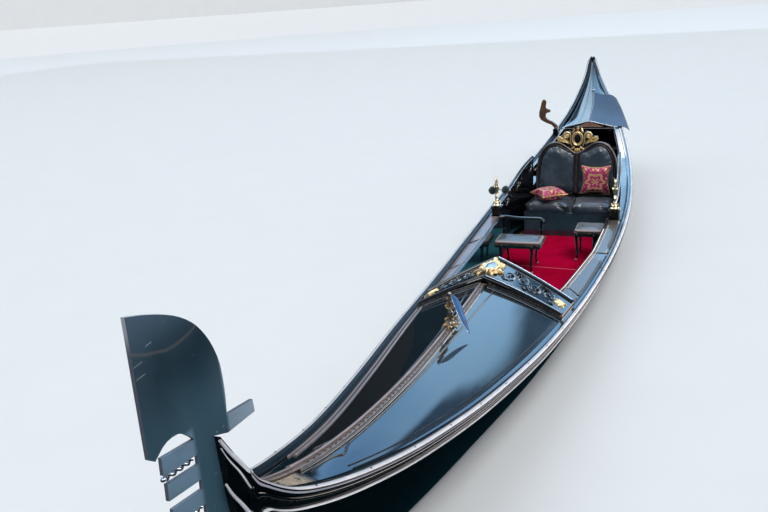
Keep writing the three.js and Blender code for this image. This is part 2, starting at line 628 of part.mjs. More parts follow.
// Two-humped outline; a is measured from the middle, z from the seat's board.
function backOutline(inset = 0) {
  const right = [[445, 0], [450, 300], [440, 440], [410, 550], [350, 640], [270, 680], [190, 672],
    [110, 625], [40, 575]];
  const trim = right.map(([a, z]) => [a - inset * (a / 445), z === 0 ? inset : z - inset * 0.9]);
  return [...trim, ...trim.toReversed().map(([a, z]) => [-a, z])];
}
const BACK_THICK = 30;
function leaned(geometry) {
  const lift = BACK_THICK * Math.sin(SEAT.lean) + GAP;
  return geometry.rotateY(-SEAT.lean).translate(SEAT.backX, SEAT.mid, SEAT.top + lift);
}
const seatBack = () => leaned(plate(backOutline(), 'yz', -BACK_THICK, 0));
function backPad(side) {
  const s = side === 'port' ? 1 : -1;
  const half = [[20, 120], [410, 120], [418, 300], [405, 440], [378, 535], [330, 610], [265, 648],
    [195, 640], [110, 590],
    [20, 535]];
  const outline = half.map(([a, z]) => [s * a, z]);
  return leaned(plate(outline, 'yz', GAP, 38));
}
function seatCrest() {
  const half = [[0, -60], [40, -48], [70, -8], [120, 30], [190, 60], [225, 90], [215, 125], [160, 140],
    [120, 190], [80, 185],
    [60, 160], [50, 205], [25, 235], [0, 240]];
  const outline = [...half, ...half.slice(1, -1).toReversed().map(([a, z]) => [-a, z])];
  const lifted = outline.map(([a, z]) => [a, z + 575 + 38]);
  return leaned(plate(lifted, 'yz', -26 - 28, -BACK_THICK - GAP));
}
const POST = { port: [676, 768], star: [390, 482], x0: -718, x1: -622, top: 450, cap: 26 };
// The seat's side wing, with the square post at its forward end.
function wing(side, space) {
  const s = SIDES[side];
  const [a, b] = POST[side];
  const [y0, y1] = [s * a, s * b].sort((p, q) => p - q);
  const panel = loft(WING[side].map(([x, y, top]) => {
    const out = y + WING_THICK;
    return [V(x, s * y, seatFloor), V(x, s * out, seatFloor), V(x, s * (out + 4), top - 10),
      V(x, s * (out - 6), top), V(x, s * (y + 2), top), V(x, s * (y - 4), top - 12)];
  }));
  return common(join(
    panel,
    box(POST.x0 + 6, POST.x1 - 6, y0 + 6, y1 - 6, seatFloor, POST.top - POST.cap),
    box(POST.x0, POST.x1, y0, y1, POST.top - POST.cap, POST.top),
  ), space);
}
function seaHorse(side) {
  const [a, b] = POST[side];
  const [x, y] = [(POST.x0 + POST.x1) / 2, SIDES[side] * (a + b) * 0.5];
  const base = turned([[0, 0], [34, 0], [34, 10], [22, 18], [16, 34], [26, 48], [14, 62], [0, 66]]);
  const body = tube([[0, 0, 60], [26, 0, 92], [30, 0, 130], [8, 0, 170], [-14, 0, 205], [-6, 0, 245],
    [18, 0, 262]], 15,
    { sides: 8, steps: 14 });
  const head = turned([[0, 0], [13, 8], [9, 40], [4, 62], [0, 66]], 8).rotateY(radians(62)).translate(0,
    0, 252);
  const mane = plate([[-34, 150], [-6, 140], [-12, 250], [-2, 300], [-26, 262], [-40, 205]], 'xz', -4, 4);
  return join(base, body, head, mane).translate(x, y, POST.top + GAP);
}
function pillow(spec) {
  const { size, thick, at: place, turn } = spec;
  const h = size / 2;
  const ring = (z, k) => [V(-h * k, -h * k, z), V(0, -h * k * 0.95, z), V(h * k, -h * k, z),
    V(h * k * 0.95, 0, z),
    V(h * k, h * k, z), V(0, h * k * 0.95, z), V(-h * k, h * k, z), V(-h * k * 0.95, 0, z)];
  return loft([ring(-thick / 2, 0.6), ring(-thick / 4, 0.9), ring(0, 1), ring(thick / 4, 0.9),
    ring(thick / 2, 0.6)])
    .applyMatrix4(new THREE.Matrix4().makeRotationFromEuler(new THREE.Euler(...turn.map(radians))))
    .translate(...place);
}

// Small chair on the starboard side, stool on the port side.
const CHAIR = { x0: -385, x1: -65, y0: -342, y1: 112, top: 232, pad: 34, rail: 405, legs: [84, 100],
  padAft: 42 };
const STOOL = { x0: -830, x1: -520, y0: 352, y1: 632, top: 236, pad: 34, legs: [40, 96], padAft: 10 };
function cabriole(x, y, dx, dy, top, foot) {
  return tube([[x, y, top - 6], [x + dx * 12, y + dy * 12, top * 0.7 + foot * 0.3],
    [x + dx * 4, y + dy * 4, top * 0.3 + foot * 0.7],
    [x + dx * 14, y + dy * 14, foot]], 13, { sides: 6, steps: 7 });
}
function smallFrame(spec) {
  const foot = FLOOR_TOP + CARPET_THICK + 2 * GAP + 7;
  const skirt = box(spec.x0, spec.x1, spec.y0, spec.y1, spec.top - 34, spec.top);
  const [near, far] = spec.legs;
  const corners = [[spec.x0 + 22, -1], [spec.x1 - 22, 1]]
    .flatMap(([x, dx]) => [[spec.y0 + near, -1], [spec.y1 - far,
      1]].map(([y, dy]) => ({ x, y, dx, dy })));
  const legs = corners.map(({ x, y, dx, dy }) => cabriole(x, y, dx, dy, spec.top - 20, foot));
  const feet = corners.map(({ x, y, dx, dy }) => turned([[0, 0], [14, 0], [16, 12], [0, 16]], 8)
    .translate(x + dx * 14, y + dy * 14, foot - 7));
  return [skirt, ...legs, ...feet];
}
function chairFrame() {
  const { x0, y0, y1, top, rail: high } = CHAIR;
  const x = x0 + 14;
  const arm = tube([[x + 20, y0 + 6, high + 10], [x, y0 + 60, high + 14],
    [x - 6, (y0 + y1) / 2, high + 4],
    [x, y1 - 70, high + 2], [x + 24, y1 - 24, high - 12]], 14, { sides: 6, steps: 14 });
  const stay = (y, dz) => tube([[x + 2, y, top - 10], [x + 10, y + 4, (top + high) / 2],
    [x + 2, y, high + dz]], 12, { sides: 6, steps: 6 });
  return join(...smallFrame(CHAIR), arm, stay(y0 + 40, 8), stay(y1 - 50, -4));
}
const stoolFrame = () => join(...smallFrame(STOOL));
function smallPad(spec) {
  const aft = spec.x0 + spec.padAft;
  const ring = (z, d) => [V(aft + d, spec.y0 + d, z), V(spec.x1 - d, spec.y0 + d, z),
    V(spec.x1 - d, spec.y1 - d, z),
    V(aft + d, spec.y1 - d, z)];
  return loft([ring(spec.top + GAP, 8), ring(spec.top + 12, 2), ring(spec.top + spec.pad, 22)]);
}

// After part of the boat
const AFT_FLOOR = { top: 40, thick: 18 };
function aftFloor(space) {
  return common(box(-3560, SEAT.x0 - 60, -700, 900, AFT_FLOOR.top - AFT_FLOOR.thick, AFT_FLOOR.top),
    space);
}
function wellCoaming() {
  const ringAt = (x, side, out) => V(x, SIDES[side] * (wellHalf(side, x) + out), 0);
  const xs = [WELL.from - 60, ...columnXs(WELL.from - 260, WELL.to)];
  const path = [...xs.toReversed().map((x) => ['port', x]), ...xs.map((x) => ['star', x])];
  const rings = path.map(([side, x]) => {
    const s = SIDES[side];
    const y = wellHalf(side, x);
    const top = at(x).rail - DECK_DROP + WELL.proud;
    const low = at(x).rail - 110;
    return [V(x, s * y, low), V(x, s * (y + WELL.thick), low), V(x, s * (y + WELL.thick), top),
      V(x, s * y, top)];
  });
  return loft(rings);
}
// Two step boards on the bearers that join them.
const STEPS = { boards: [[-3180, -3010], [-3500, -3330]], bearers: [[-160, -130], [420, 450]], drop: 150,
  thick: 22 };
function steps(space) {
  const level = ([from, to]) => at((from + to) / 2).rail - STEPS.drop;
  const boards = STEPS.boards.map((b) => box(b[0], b[1], -700, 900, level(b) - STEPS.thick, level(b)));
  const [low, high] = STEPS.boards.map(level);
  const [front, back] = STEPS.boards;
  const bearers = STEPS.bearers.map(([y0, y1]) => plate([
    [front[1], low - STEPS.thick - 40], [front[1], low - STEPS.thick + 4], [front[0], low - 4],
    [back[1], high - STEPS.thick + 4], [back[0], high - STEPS.thick + 4], [back[0], high - STEPS.thick - 40],
  ], 'xz', y0, y1));
  return common(join(...boards, ...bearers), space);
}
const aftRise = (x) => 86 * clamp((x + 5300) / 1500, 0, 1) ** 0.8;
const aftMid = (x) => (at(x).half.port - at(x).half.star) / 2;
function aftDeck(side) {
  const s = SIDES[side];
  return loft(columnXs(AFT_DECK_X, -5300).map((x) => {
    const a = at(x);
    const edge = a.rail - DECK_DROP * a.steep;
    const ridge = edge + aftRise(x);
    const mid = aftMid(x) + s * GAP * 0.6;
    return [V(x, mid, ridge), V(x, s * a.inner[side], edge), V(x, s * a.inner[side], edge - DECK_THICK),
      V(x, mid, ridge - DECK_THICK)];
  }));
}
function aftArch(space) {
  const a = at(AFT_DECK_X);
  const edge = a.rail - DECK_DROP;
  const ridge = edge + aftRise(AFT_DECK_X);
  const mid = aftMid(AFT_DECK_X);
  const [p, s] = [a.inner.port, -a.inner.star];
  const { band, thick } = ARCH;
  const outline = [[s, edge + 6], [mid, ridge + 8], [p, edge + 6], [p, edge - band],
    [mid, ridge - band], [s, edge - band]];
  return common(plate(outline, 'yz', AFT_DECK_X + GAP, AFT_DECK_X + thick), space);
}
const MAT = { from: AFT_DECK_X - 20, to: -4560, thick: 9, inner: 150 };
function standingMat() {
  return loft(columnXs(MAT.from, MAT.to).map((x) => {
    const a = at(x);
    const edge = a.rail - DECK_DROP * a.steep;
    const mid = aftMid(x);
    const share = (y) => edge + aftRise(x) * (1 - (y - mid) / (a.inner.port - mid));
    const y0 = lerp(MAT.inner, mid + 20, (MAT.from - x) / (MAT.from - MAT.to));
    const y1 = a.inner.port - 6;
    return [V(x, y0, share(y0) + GAP), V(x, y1, share(y1) + GAP), V(x, y1, share(y1) + GAP + MAT.thick),
      V(x, y0, share(y0) + GAP + MAT.thick)];
  }));
}

// Oar crutch, standing in its block on the starboard rail.
const CRUTCH = { x: -3560, thick: 24, peg: [46, 30, 34], block: [85, 33, 46] };
function crutchPlace() {
  const a = at(CRUTCH.x);
  return { x: CRUTCH.x, y: -(a.half.star - 30), z: a.rail };
}
function crutchBlock() {
  const p = crutchPlace();
  const [halfLong, halfWide, high] = CRUTCH.block;
  const top = p.z + high;
  const body = loft(columnXs(p.x + halfLong, p.x - halfLong).map((x) => [V(x, p.y - halfWide,
    at(x).rail + GAP),
    V(x, p.y + halfWide, at(x).rail + GAP), V(x, p.y + halfWide, top), V(x, p.y - halfWide, top)]));
  const [w, d] = CRUTCH.peg;
  const clear = 2;
  return cut(body, box(p.x - w / 2 - clear, p.x + w / 2 + clear, p.y - d / 2 - clear,
    p.y + d / 2 + clear, p.z - 40, top + 40));
}
function crutch() {
  const p = crutchPlace();
  const [w, d, deep] = CRUTCH.peg;
  const seat = p.z + CRUTCH.block[2] + GAP;
  const outline = [[24, 0], [12, 38], [-44, 84], [-112, 116], [-142, 148], [-140, 186], [-118, 204],
    [-86, 208], [-72, 226], [-84, 248], [-118, 256], [-140, 272], [-140, 306], [-132, 344],
    [-142, 376], [-178, 380], [-196, 340], [-208, 280], [-226, 215], [-226, 152], [-200, 108],
    [-132, 70], [-60, 42], [-26, 0]];
  const body = plate(outline.map(([y, z]) => [p.y + y, seat + 6 + z]), 'yz', p.x - CRUTCH.thick,
    p.x + CRUTCH.thick);
  const heel = box(p.x - 60, p.x + 60, p.y - 22, p.y + 22, seat, seat + 14);
  const peg = box(p.x - w / 2, p.x + w / 2, p.y - d / 2, p.y + d / 2, seat - deep, seat + 8);
  return join(body, heel, peg);
}

// Assembly
const group = new THREE.Group();
function add(name, material, geometry) {
  const mesh = new THREE.Mesh(geometry, MATERIALS[material]);
  mesh.name = name;
  group.add(mesh);
}

const space = hullSpace();
add('bottom_fore', 'wood', bottom(0));
add('bottom_aft', 'wood', bottom(1));
add('stem_post', 'gloss', stemPost());
add('stern_post', 'gloss', sternPost());
add('ferro', 'steel', ferro());
for (const side of Object.keys(SIDES)) {
  const end = NODE_SIDE[side];
  ['fore', 'mid', 'quarter', 'aft'].forEach((part, i) => {
    add(`side_${end}_${part}`, 'gloss', planking(side, i));
  });
  ['fore', 'aft'].forEach((part, i) => add(`rail_${end}_${part}`, 'gloss', rail(side, i)));
  add(`foredeck_${end}`, 'gloss', foredeck(side));
  add(`v_board_${end}`, 'gloss', vBoard(side));
  add(`locker_door_${end}`, 'gloss', lockerDoor(side));
  add(`coaming_${end}`, 'gloss', coaming(side, space));
  add(`side_deck_${end}`, 'gloss', sideDeck(side));
  add(`seat_cushion_${end}`, 'leather', seatCushion(side));
  add(`back_pad_${end}`, 'leather', backPad(side));
  add(`wing_${end}`, 'gloss', wing(side, space));
  add(`sea_horse_${end}`, 'brass', seaHorse(side));
  add(`aft_deck_${end}`, 'gloss', aftDeck(side));
}
add('foredeck_ridge', 'gilt', foredeckRidge());
add('bow_cap', 'gloss', bowCap());
add('flag_stand', 'brass', flagStand());
add('pennant', 'cloth', pennant());
add('fore_bulkhead', 'gloss', foreBulkhead(space));
add('floor_boards', 'wood', floorBoards(space));
add('carpet', 'carpet', carpet(space));
add('seat_base', 'leather', seatBase(space));
add('seat_back', 'gloss', seatBack());
add('seat_crest', 'gilt', seatCrest());
add('pillow_lying', 'damask', pillow({ size: 340, thick: 120, at: [-1500, -40, 376], turn: [0, 0, 38] }));
add('pillow_standing', 'damask', pillow({ size: 350, thick: 110, at: [-1707, 437, 489],
  turn: [0, 81, 0] }));
add('chair_frame', 'gloss', chairFrame());
add('chair_seat', 'leather', smallPad(CHAIR));
add('stool_frame', 'gloss', stoolFrame());
add('stool_seat', 'leather', smallPad(STOOL));
add('aft_floor', 'wood', aftFloor(space));
add('well_coaming', 'gloss', wellCoaming());
add('steps', 'wood', steps(space));
add('aft_arch', 'gloss', aftArch(space));
add('standing_mat', 'mat', standingMat());
add('forcola_block', 'gloss', crutchBlock());
add('forcola', 'walnut', crutch());

export default group;
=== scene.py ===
import json
import math

import bmesh
import bpy
import numpy as np
from mathutils import Matrix, Vector, noise

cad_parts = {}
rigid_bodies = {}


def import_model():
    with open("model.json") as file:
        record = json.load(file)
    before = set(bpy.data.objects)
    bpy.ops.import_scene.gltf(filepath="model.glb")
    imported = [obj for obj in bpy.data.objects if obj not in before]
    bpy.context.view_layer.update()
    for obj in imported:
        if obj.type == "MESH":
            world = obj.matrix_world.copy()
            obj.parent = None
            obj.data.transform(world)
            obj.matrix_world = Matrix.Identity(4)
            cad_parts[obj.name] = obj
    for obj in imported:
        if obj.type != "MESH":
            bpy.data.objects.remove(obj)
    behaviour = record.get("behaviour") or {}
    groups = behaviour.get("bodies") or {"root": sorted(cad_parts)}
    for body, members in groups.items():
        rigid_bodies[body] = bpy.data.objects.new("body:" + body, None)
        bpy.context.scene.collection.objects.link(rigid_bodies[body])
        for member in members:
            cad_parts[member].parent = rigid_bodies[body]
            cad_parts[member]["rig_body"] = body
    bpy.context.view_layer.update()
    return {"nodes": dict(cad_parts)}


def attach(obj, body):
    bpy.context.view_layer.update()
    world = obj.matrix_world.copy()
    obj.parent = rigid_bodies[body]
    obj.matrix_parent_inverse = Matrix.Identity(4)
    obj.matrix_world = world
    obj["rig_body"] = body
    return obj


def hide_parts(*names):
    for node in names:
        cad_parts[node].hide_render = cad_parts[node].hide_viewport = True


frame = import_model()
scene = bpy.context.scene
nodes = frame["nodes"]

# Camera at the photo's place
yaw, pitch, roll = (math.radians(a) for a in (202.09507111, 18.31787658, -4.12304065))
ahead = Vector((math.cos(yaw) * math.cos(pitch), math.sin(yaw) * math.cos(pitch), -math.sin(pitch)))
level = Vector((math.sin(yaw), -math.cos(yaw), 0))
over = level.cross(ahead)
right = math.cos(roll) * level + math.sin(roll) * over
top = math.cos(roll) * over - math.sin(roll) * level
camera = bpy.data.objects.new("camera", bpy.data.cameras.new("camera"))
scene.collection.objects.link(camera)
scene.camera = camera
camera.data.sensor_width = 36
camera.data.lens = 747 / 768 * 36
camera.data.clip_end = 500
camera.matrix_world = Matrix((
    (right.x, top.x, -ahead.x, 6.64480366),
    (right.y, top.y, -ahead.y, 1.24672296),
    (right.z, top.z, -ahead.z, 2.4435909),
    (0, 0, 0, 1)))
GAP = 0.0003
PLANK, RAIL_W, RAIL_H, DECK_DROP, DECK_THICK = 0.018, 0.052, 0.030, 0.008, 0.018
RUB_DEPTH, RUB_HIGH = 0.086, 0.026
BELLY = 0.12
CAMBER = 0.024    # rise of the foredeck's panels between ridge and rail, as a share of their width
FORE_X, BOARD_EDGE, BOARD_RIDGE, AFT_EDGE, AFT_RIDGE = 4.6, 1.95, 1.697, 1.655, 1.24
RIDGE_RISE, RIDGE_START, RIDGE_FULL, RIDGE_HALF = 0.15, 4.9, 1.2, 0.03
SIGN = {"port": 1, "star": -1}
FULL = {"port": "port", "star": "starboard"}
# x, rail z, half-breadth port and starboard, then the chine's x, z and half-breadths, then the ends' curve
STATIONS = np.array([
    [4975, 1130, 61, 62, 4450, 280, 14, 14, 165],
    [4920, 1046, 80, 82, 4400, 255, 20, 20, 120],
    [4750, 914, 128, 138, 4300, 215, 34, 34, 70],
    [4400, 766, 203, 206, 4100, 150, 62, 60, 25],
    [3900, 626, 307, 275, 3700, 75, 118, 105, 0],
    [3200, 499, 440, 373, 3100, 0, 205, 170, 0],
    [2300, 414, 598, 462, 2250, -80, 320, 235, 0],
    [1200, 361, 731, 514, 1200, -145, 410, 285, 0],
    [0, 350, 820, 551, 0, -175, 455, 310, 0],
    [-1200, 390, 837, 543, -1200, -180, 462, 305, 0],
    [-2400, 483, 765, 463, -2350, -150, 400, 250, 0],
    [-3400, 666, 630, 325, -3250, -75, 290, 160, 0],
    [-4200, 905, 455, 186, -3900, 30, 160, 75, 0],
    [-4900, 1213, 211, 86, -4450, 200, 55, 30, -60],
    [-5360, 1505, 42, 42, -4700, 380, 14, 14, -110],
]) / 1000.0
X, RAIL_Z, PORT, STAR, CHINE_X, CHINE_Z, CHINE_PORT, CHINE_STAR, RAKE = range(9)
HALF = {"port": PORT, "star": STAR}
CHINE = {"port": CHINE_PORT, "star": CHINE_STAR}


def column(u):
    """The nine values of the hull's form at a share u of its stations, on a smooth curve through them."""
    last = len(STATIONS) - 1
    i = min(int(u * last), last - 1)
    w = u * last - i
    p1, p2 = STATIONS[i], STATIONS[i + 1]
    p0 = STATIONS[i - 1] if i > 0 else 2 * p1 - p2
    p3 = STATIONS[i + 2] if i + 2 <= last else 2 * p2 - p1
    t0, t1 = 0.5 * (p2 - p0), 0.5 * (p3 - p1)
    return p1 + w * (t0 + w * (3 * (p2 - p1) - 2 * t0 - t1 + w * (2 * (p1 - p2) + t0 + t1)))


FINE = np.array([column(u) for u in np.linspace(0, 1, 401)])


def at(x):
    """The form's values where the rail passes x."""
    return np.array([np.interp(-x, -FINE[:, X], FINE[:, k]) for k in range(9)])


def steep(x):
    """How much the rail's depth grows where it climbs."""
    a, b = at(x - 0.01), at(x + 0.01)
    slope = (b[RAIL_Z] - a[RAIL_Z]) / max(b[X] - a[X], 1e-6)
    return min(max(math.hypot(1, slope), 1), 2.2)


def rail_width(c, side):
    return min(RAIL_W, 0.8 * c[HALF[side]])


def inner(c, side):
    return c[HALF[side]] - rail_width(c, side) - GAP


def shell(c, side, t, out=0.0):
    """A point of the planking, from the chine at t 0 to the rail's underside at t 1."""
    swell = 4 * t * (1 - t)
    top = c[RAIL_Z] - RAIL_H * steep(c[X])
    y = c[CHINE[side]] + (c[HALF[side]] - c[CHINE[side]]) * (t + BELLY * swell)
    return Vector((c[CHINE_X] + (c[X] - c[CHINE_X]) * t + c[RAKE] * swell,
                   SIGN[side] * (y + out), c[CHINE_Z] + (top - c[CHINE_Z]) * t))


def share(c, depth):
    """The planking's t at a depth below the rail's top."""
    s = steep(c[X])
    return 1 - (depth - RAIL_H) * s / (c[RAIL_Z] - RAIL_H * s - c[CHINE_Z])


def rise(x):
    return RIDGE_RISE * min(max((RIDGE_START - x) / (RIDGE_START - RIDGE_FULL), 0), 1) ** 0.7


def edge_z(x):
    return at(x)[RAIL_Z] - DECK_DROP * steep(x)


def ridge_x(e):
    """Where the straight line across the foredeck from a rail's x meets the ridge."""
    if e > BOARD_EDGE:
        return FORE_X + (BOARD_RIDGE - FORE_X) * (FORE_X - e) / (FORE_X - BOARD_EDGE)
    return BOARD_RIDGE + (AFT_RIDGE - BOARD_RIDGE) * (BOARD_EDGE - e) / (BOARD_EDGE - AFT_EDGE)


def deck(side, e, v, lift=0.0):
    """A point on the foredeck, from the ridge at v 0 to the rail at v 1."""
    r = ridge_x(e)
    a = Vector((r, 0, edge_z(r) + rise(r)))
    b = Vector((e, SIGN[side] * inner(at(e), side), edge_z(e)))
    return a.lerp(b, v) + Vector((0, 0, lift + CAMBER * abs(b.y) * 4 * v * (1 - v)))


def board(side, s, w, lift=0.0):
    """A point on the V-board: s from its middle to the rail, w from its fore edge to its after edge."""
    return deck(side, BOARD_EDGE + (AFT_EDGE - BOARD_EDGE) * w, s, 0.050 - 0.022 * s + lift)


class Value:
    """A socket in a material's node tree. Operators add Math nodes."""

    def __init__(self, paint, socket):
        self.paint, self.socket = paint, socket

    def maths(self, operation, *values, clamp=False):
        return self.paint.node("ShaderNodeMath", {"operation": operation, "use_clamp": clamp},
                               {i: v for i, v in enumerate(values)})

    def __add__(self, other):
        return self.maths("ADD", self, other)

    def __sub__(self, other):
        return self.maths("SUBTRACT", self, other)

    def __rsub__(self, other):
        return self.maths("SUBTRACT", other, self)

    def __mul__(self, other):
        return self.maths("MULTIPLY", self, other)

    def __truediv__(self, other):
        return self.maths("DIVIDE", self, other)

    def __pow__(self, other):
        return self.maths("POWER", self, other)

    def __abs__(self):
        return self.maths("ABSOLUTE", self)

    __radd__, __rmul__ = __add__, __mul__

    def step(self, low, high):
        """0 below low, 1 above high and smooth between them; low may be the greater."""
        return self.paint.node("ShaderNodeMapRange", {"interpolation_type": "SMOOTHSTEP"},
                               {"Value": self, "From Min": low, "From Max": high})

    def sine(self):
        return self.maths("SINE", self)

class Paint:
    """A material: a Principled shader, its constants set on its sockets, and nodes that vary the rest."""

    def __init__(self, name, **constants):
        self.material = bpy.data.materials.new(name)
        self.material.use_nodes = True
        self.tree = self.material.node_tree
        self.shader = self.tree.nodes["Principled BSDF"]
        for socket, value in constants.items():
            self.shader.inputs[socket.replace("_", " ")].default_value = value
        self.place = self.node("ShaderNodeTexCoord", {}, {}, "Object")
        parts = self.node("ShaderNodeSeparateXYZ", {}, {0: self.place}, "X")
        outputs = parts.socket.node.outputs
        self.x, self.y, self.z = (Value(self, outputs[k]) for k in "XYZ")

    def node(self, kind, settings, values, output=0):
        made = self.tree.nodes.new(kind)
        for key, value in settings.items():
            setattr(made, key, value)
        for key, value in values.items():
            self.put(made.inputs[key], value)
        return Value(self, made.outputs[output])

    def put(self, socket, value):
        if isinstance(value, Value):
            self.tree.links.new(value.socket, socket)
        else:
            socket.default_value = (*value, 1) if isinstance(value, tuple) and len(value) == 3 \
                and socket.type == "RGBA" else value

    def noise(self, scale, detail=3.0, rough=0.5, warp=0.0, at=None):
        return self.node("ShaderNodeTexNoise", {},
                         {"Vector": at or self.place, "Scale": scale, "Detail": detail,
                          "Roughness": rough, "Distortion": warp})

    def cells(self, scale, feature="F1", at=None, output="Distance"):
        return self.node("ShaderNodeTexVoronoi", {"feature": feature},
                         {"Vector": at or self.place, "Scale": scale},
                         output)

    def stretched(self, x, y, z):
        """The place, with each axis scaled, so that a texture runs along one of them."""
        return self.node("ShaderNodeVectorMath", {"operation": "MULTIPLY"}, {0: self.place, 1: (x, y, z)})

    def mix(self, share, a, b):
        made = self.node("ShaderNodeMix", {"data_type": "RGBA"}, {0: share}, 2)
        self.put(made.socket.node.inputs[6], a)
        self.put(made.socket.node.inputs[7], b)
        return made

    def wear(self, low=0.52, high=0.58):
        """1 on edges that stick out, by the mesh's own sharpness."""
        return self.node("ShaderNodeNewGeometry", {}, {}, "Pointiness").step(low, high)

    def bump(self, height, distance, strength=1.0):
        made = self.node("ShaderNodeBump", {},
                         {"Height": height, "Distance": distance, "Strength": strength})
        before = self.shader.inputs["Normal"].links
        if before:
            self.put(made.socket.node.inputs["Normal"], Value(self, before[0].from_socket))
        self.put(self.shader.inputs["Normal"], made)

    def finish(self, **inputs):
        for socket, value in inputs.items():
            self.put(self.shader.inputs[socket.replace("_", " ")], value)
        return self.material


def lacquer(name, tint=(0.0012, 0.0020, 0.0028), worn=(0.10, 0.075, 0.055), rough=0.02, dust=0.05,
            rubbing=0.85):
    """Black lacquer, polished like a mirror, with faint brush waves, dust and brown rubbed edges."""
    p = Paint(name, Coat_Weight=1.0, Coat_Roughness=rough, Coat_IOR=1.5, Specular_IOR_Level=0.05)
    patches = p.noise(9, 5, 0.6).step(0.45, 0.75)
    specks = p.noise(420, 2, 0.6).step(0.66, 0.78) * p.noise(14, 2).step(0.4, 0.7)
    colour = p.mix(patches * 0.5, tint, tuple(c * 2 for c in tint))
    colour = p.mix(specks * dust, colour, (0.35, 0.34, 0.32))
    if rubbing:
        rubbed = p.wear(0.54, 0.62) * p.noise(38, 4, 0.7).step(0.42, 0.62)
        colour = p.mix(rubbed * rubbing, colour, worn)
    p.bump(p.noise(2.6, 2, 0.4), 0.004, 0.25)
    p.bump(p.noise(310, 2, 0.5), 0.0002, 0.12)
    return p.finish(Base_Color=colour, Roughness=0.35 + patches * 0.1)


def satin(name, tint, worn, coat=0.6, rough=0.12):
    """Old satin paint with dull patches and rubbed edges."""
    p = Paint(name, Coat_Weight=coat, Coat_Roughness=rough, Coat_IOR=1.5, Specular_IOR_Level=0.1)
    patches = p.noise(6, 6, 0.65).step(0.4, 0.7)
    scuffs = p.noise(60, 4, 0.7, at=p.stretched(1, 5, 5)).step(0.55, 0.75)
    rubbed = p.wear(0.53, 0.6) * p.noise(30, 4, 0.7).step(0.4, 0.6)
    colour = p.mix(patches * 0.6, tint, tuple(c * 1.6 for c in tint))
    colour = p.mix(scuffs * 0.25 + rubbed * 0.6, colour, worn)
    p.bump(p.noise(4, 3, 0.5), 0.004, 0.3)
    p.bump(scuffs, 0.0004, 0.4)
    return p.finish(Base_Color=colour, Roughness=0.4 + patches * 0.12 + scuffs * 0.15)


def metal(name, bright, dark, rough=0.2, grain=(1, 1, 1), cast=0.0, soil=(0.02, 0.018, 0.014)):
    """Polished metal with fine scratches along one way, dull patches and dirt in its hollows."""
    p = Paint(name, Metallic=1.0)
    patches = p.noise(7, 5, 0.6).step(0.35, 0.7)
    scratches = p.noise(260, 3, 0.7, at=p.stretched(*grain))
    hollows = p.wear(0.49, 0.44) * p.noise(45, 3).step(0.3, 0.7)
    colour = p.mix(patches, bright, dark)
    colour = p.mix(hollows * 0.8, colour, soil)
    p.bump(scratches, 0.0003, 0.18)
    if cast:
        p.bump(p.noise(90, 4, 0.6), 0.002, cast)
    return p.finish(Base_Color=colour, Roughness=rough + patches * 0.12 + scratches * 0.06 + hollows * 0.3)


def gilding(name, bright, dark, cut=0.4, metallic=0.75):
    """Carved wood under worn gold leaf: gold on what stands proud, brown size in the cuts."""
    p = Paint(name, Metallic=metallic)
    worn = p.noise(70, 5, 0.7).step(0.42, 0.68)
    deep = p.wear(0.5, 0.42)
    colour = p.mix(worn * 0.75, bright, dark)
    colour = p.mix(deep * 0.85, colour, (0.045, 0.022, 0.012))
    p.bump(p.noise(150, 4, 0.6), 0.0015, cut)
    return p.finish(Base_Color=colour, Roughness=0.3 + worn * 0.25 + deep * 0.2)


def leather(name, tint, painted_sheen, creases=0.5, gloss=0.32):
    """Soft leather: pebbled grain, soft creases and paler bluish patches, a painted sheen of the sky."""
    p = Paint(name, Sheen_Weight=0.25, Sheen_Roughness=0.45, Specular_IOR_Level=0.6, Coat_Weight=0.5,
              Coat_Roughness=0.22, Coat_IOR=1.6)
    # Paler bluish patches mixed into the colour: painted sheen, standing in for the sky mirrored in the
    # leather
    sheen_patches = p.noise(5, 4, 0.55).step(0.35, 0.75)
    grain = p.cells(330, "SMOOTH_F1")
    crease = p.noise(11, 6, 0.62, warp=1.2)
    colour = p.mix(sheen_patches * 0.6, tint, painted_sheen)
    p.bump(crease, 0.012, creases)
    p.bump(grain, 0.0006, 0.35)
    return p.finish(Base_Color=colour, Roughness=gloss + sheen_patches * 0.14 + grain * 0.1)


def timber(name, pale, deep, along=(1, 9, 9), scale=22.0, rough=0.45, coat=0.0, worn=(0.3, 0.27, 0.24)):
    """Wood with grain along one axis, pores and scuffed patches."""
    p = Paint(name, Coat_Weight=coat, Coat_Roughness=0.15)
    place = p.stretched(*along)
    rings = p.noise(scale * 0.25, 4, 0.6, 1.5, place)
    fibre = p.noise(scale * 4, 3, 0.7, 0.0, place)
    bands = (rings * 22).sine() * 0.5 + 0.5
    scuffed = p.noise(12, 5, 0.7).step(0.55, 0.8)
    colour = p.mix(bands * 0.7 + fibre * 0.3, deep, pale)
    colour = p.mix(scuffed * 0.35, colour, worn)
    p.bump(bands * 0.5 + fibre, 0.0009, 0.5)
    return p.finish(Base_Color=colour, Roughness=rough + fibre * 0.15 + scuffed * 0.15)


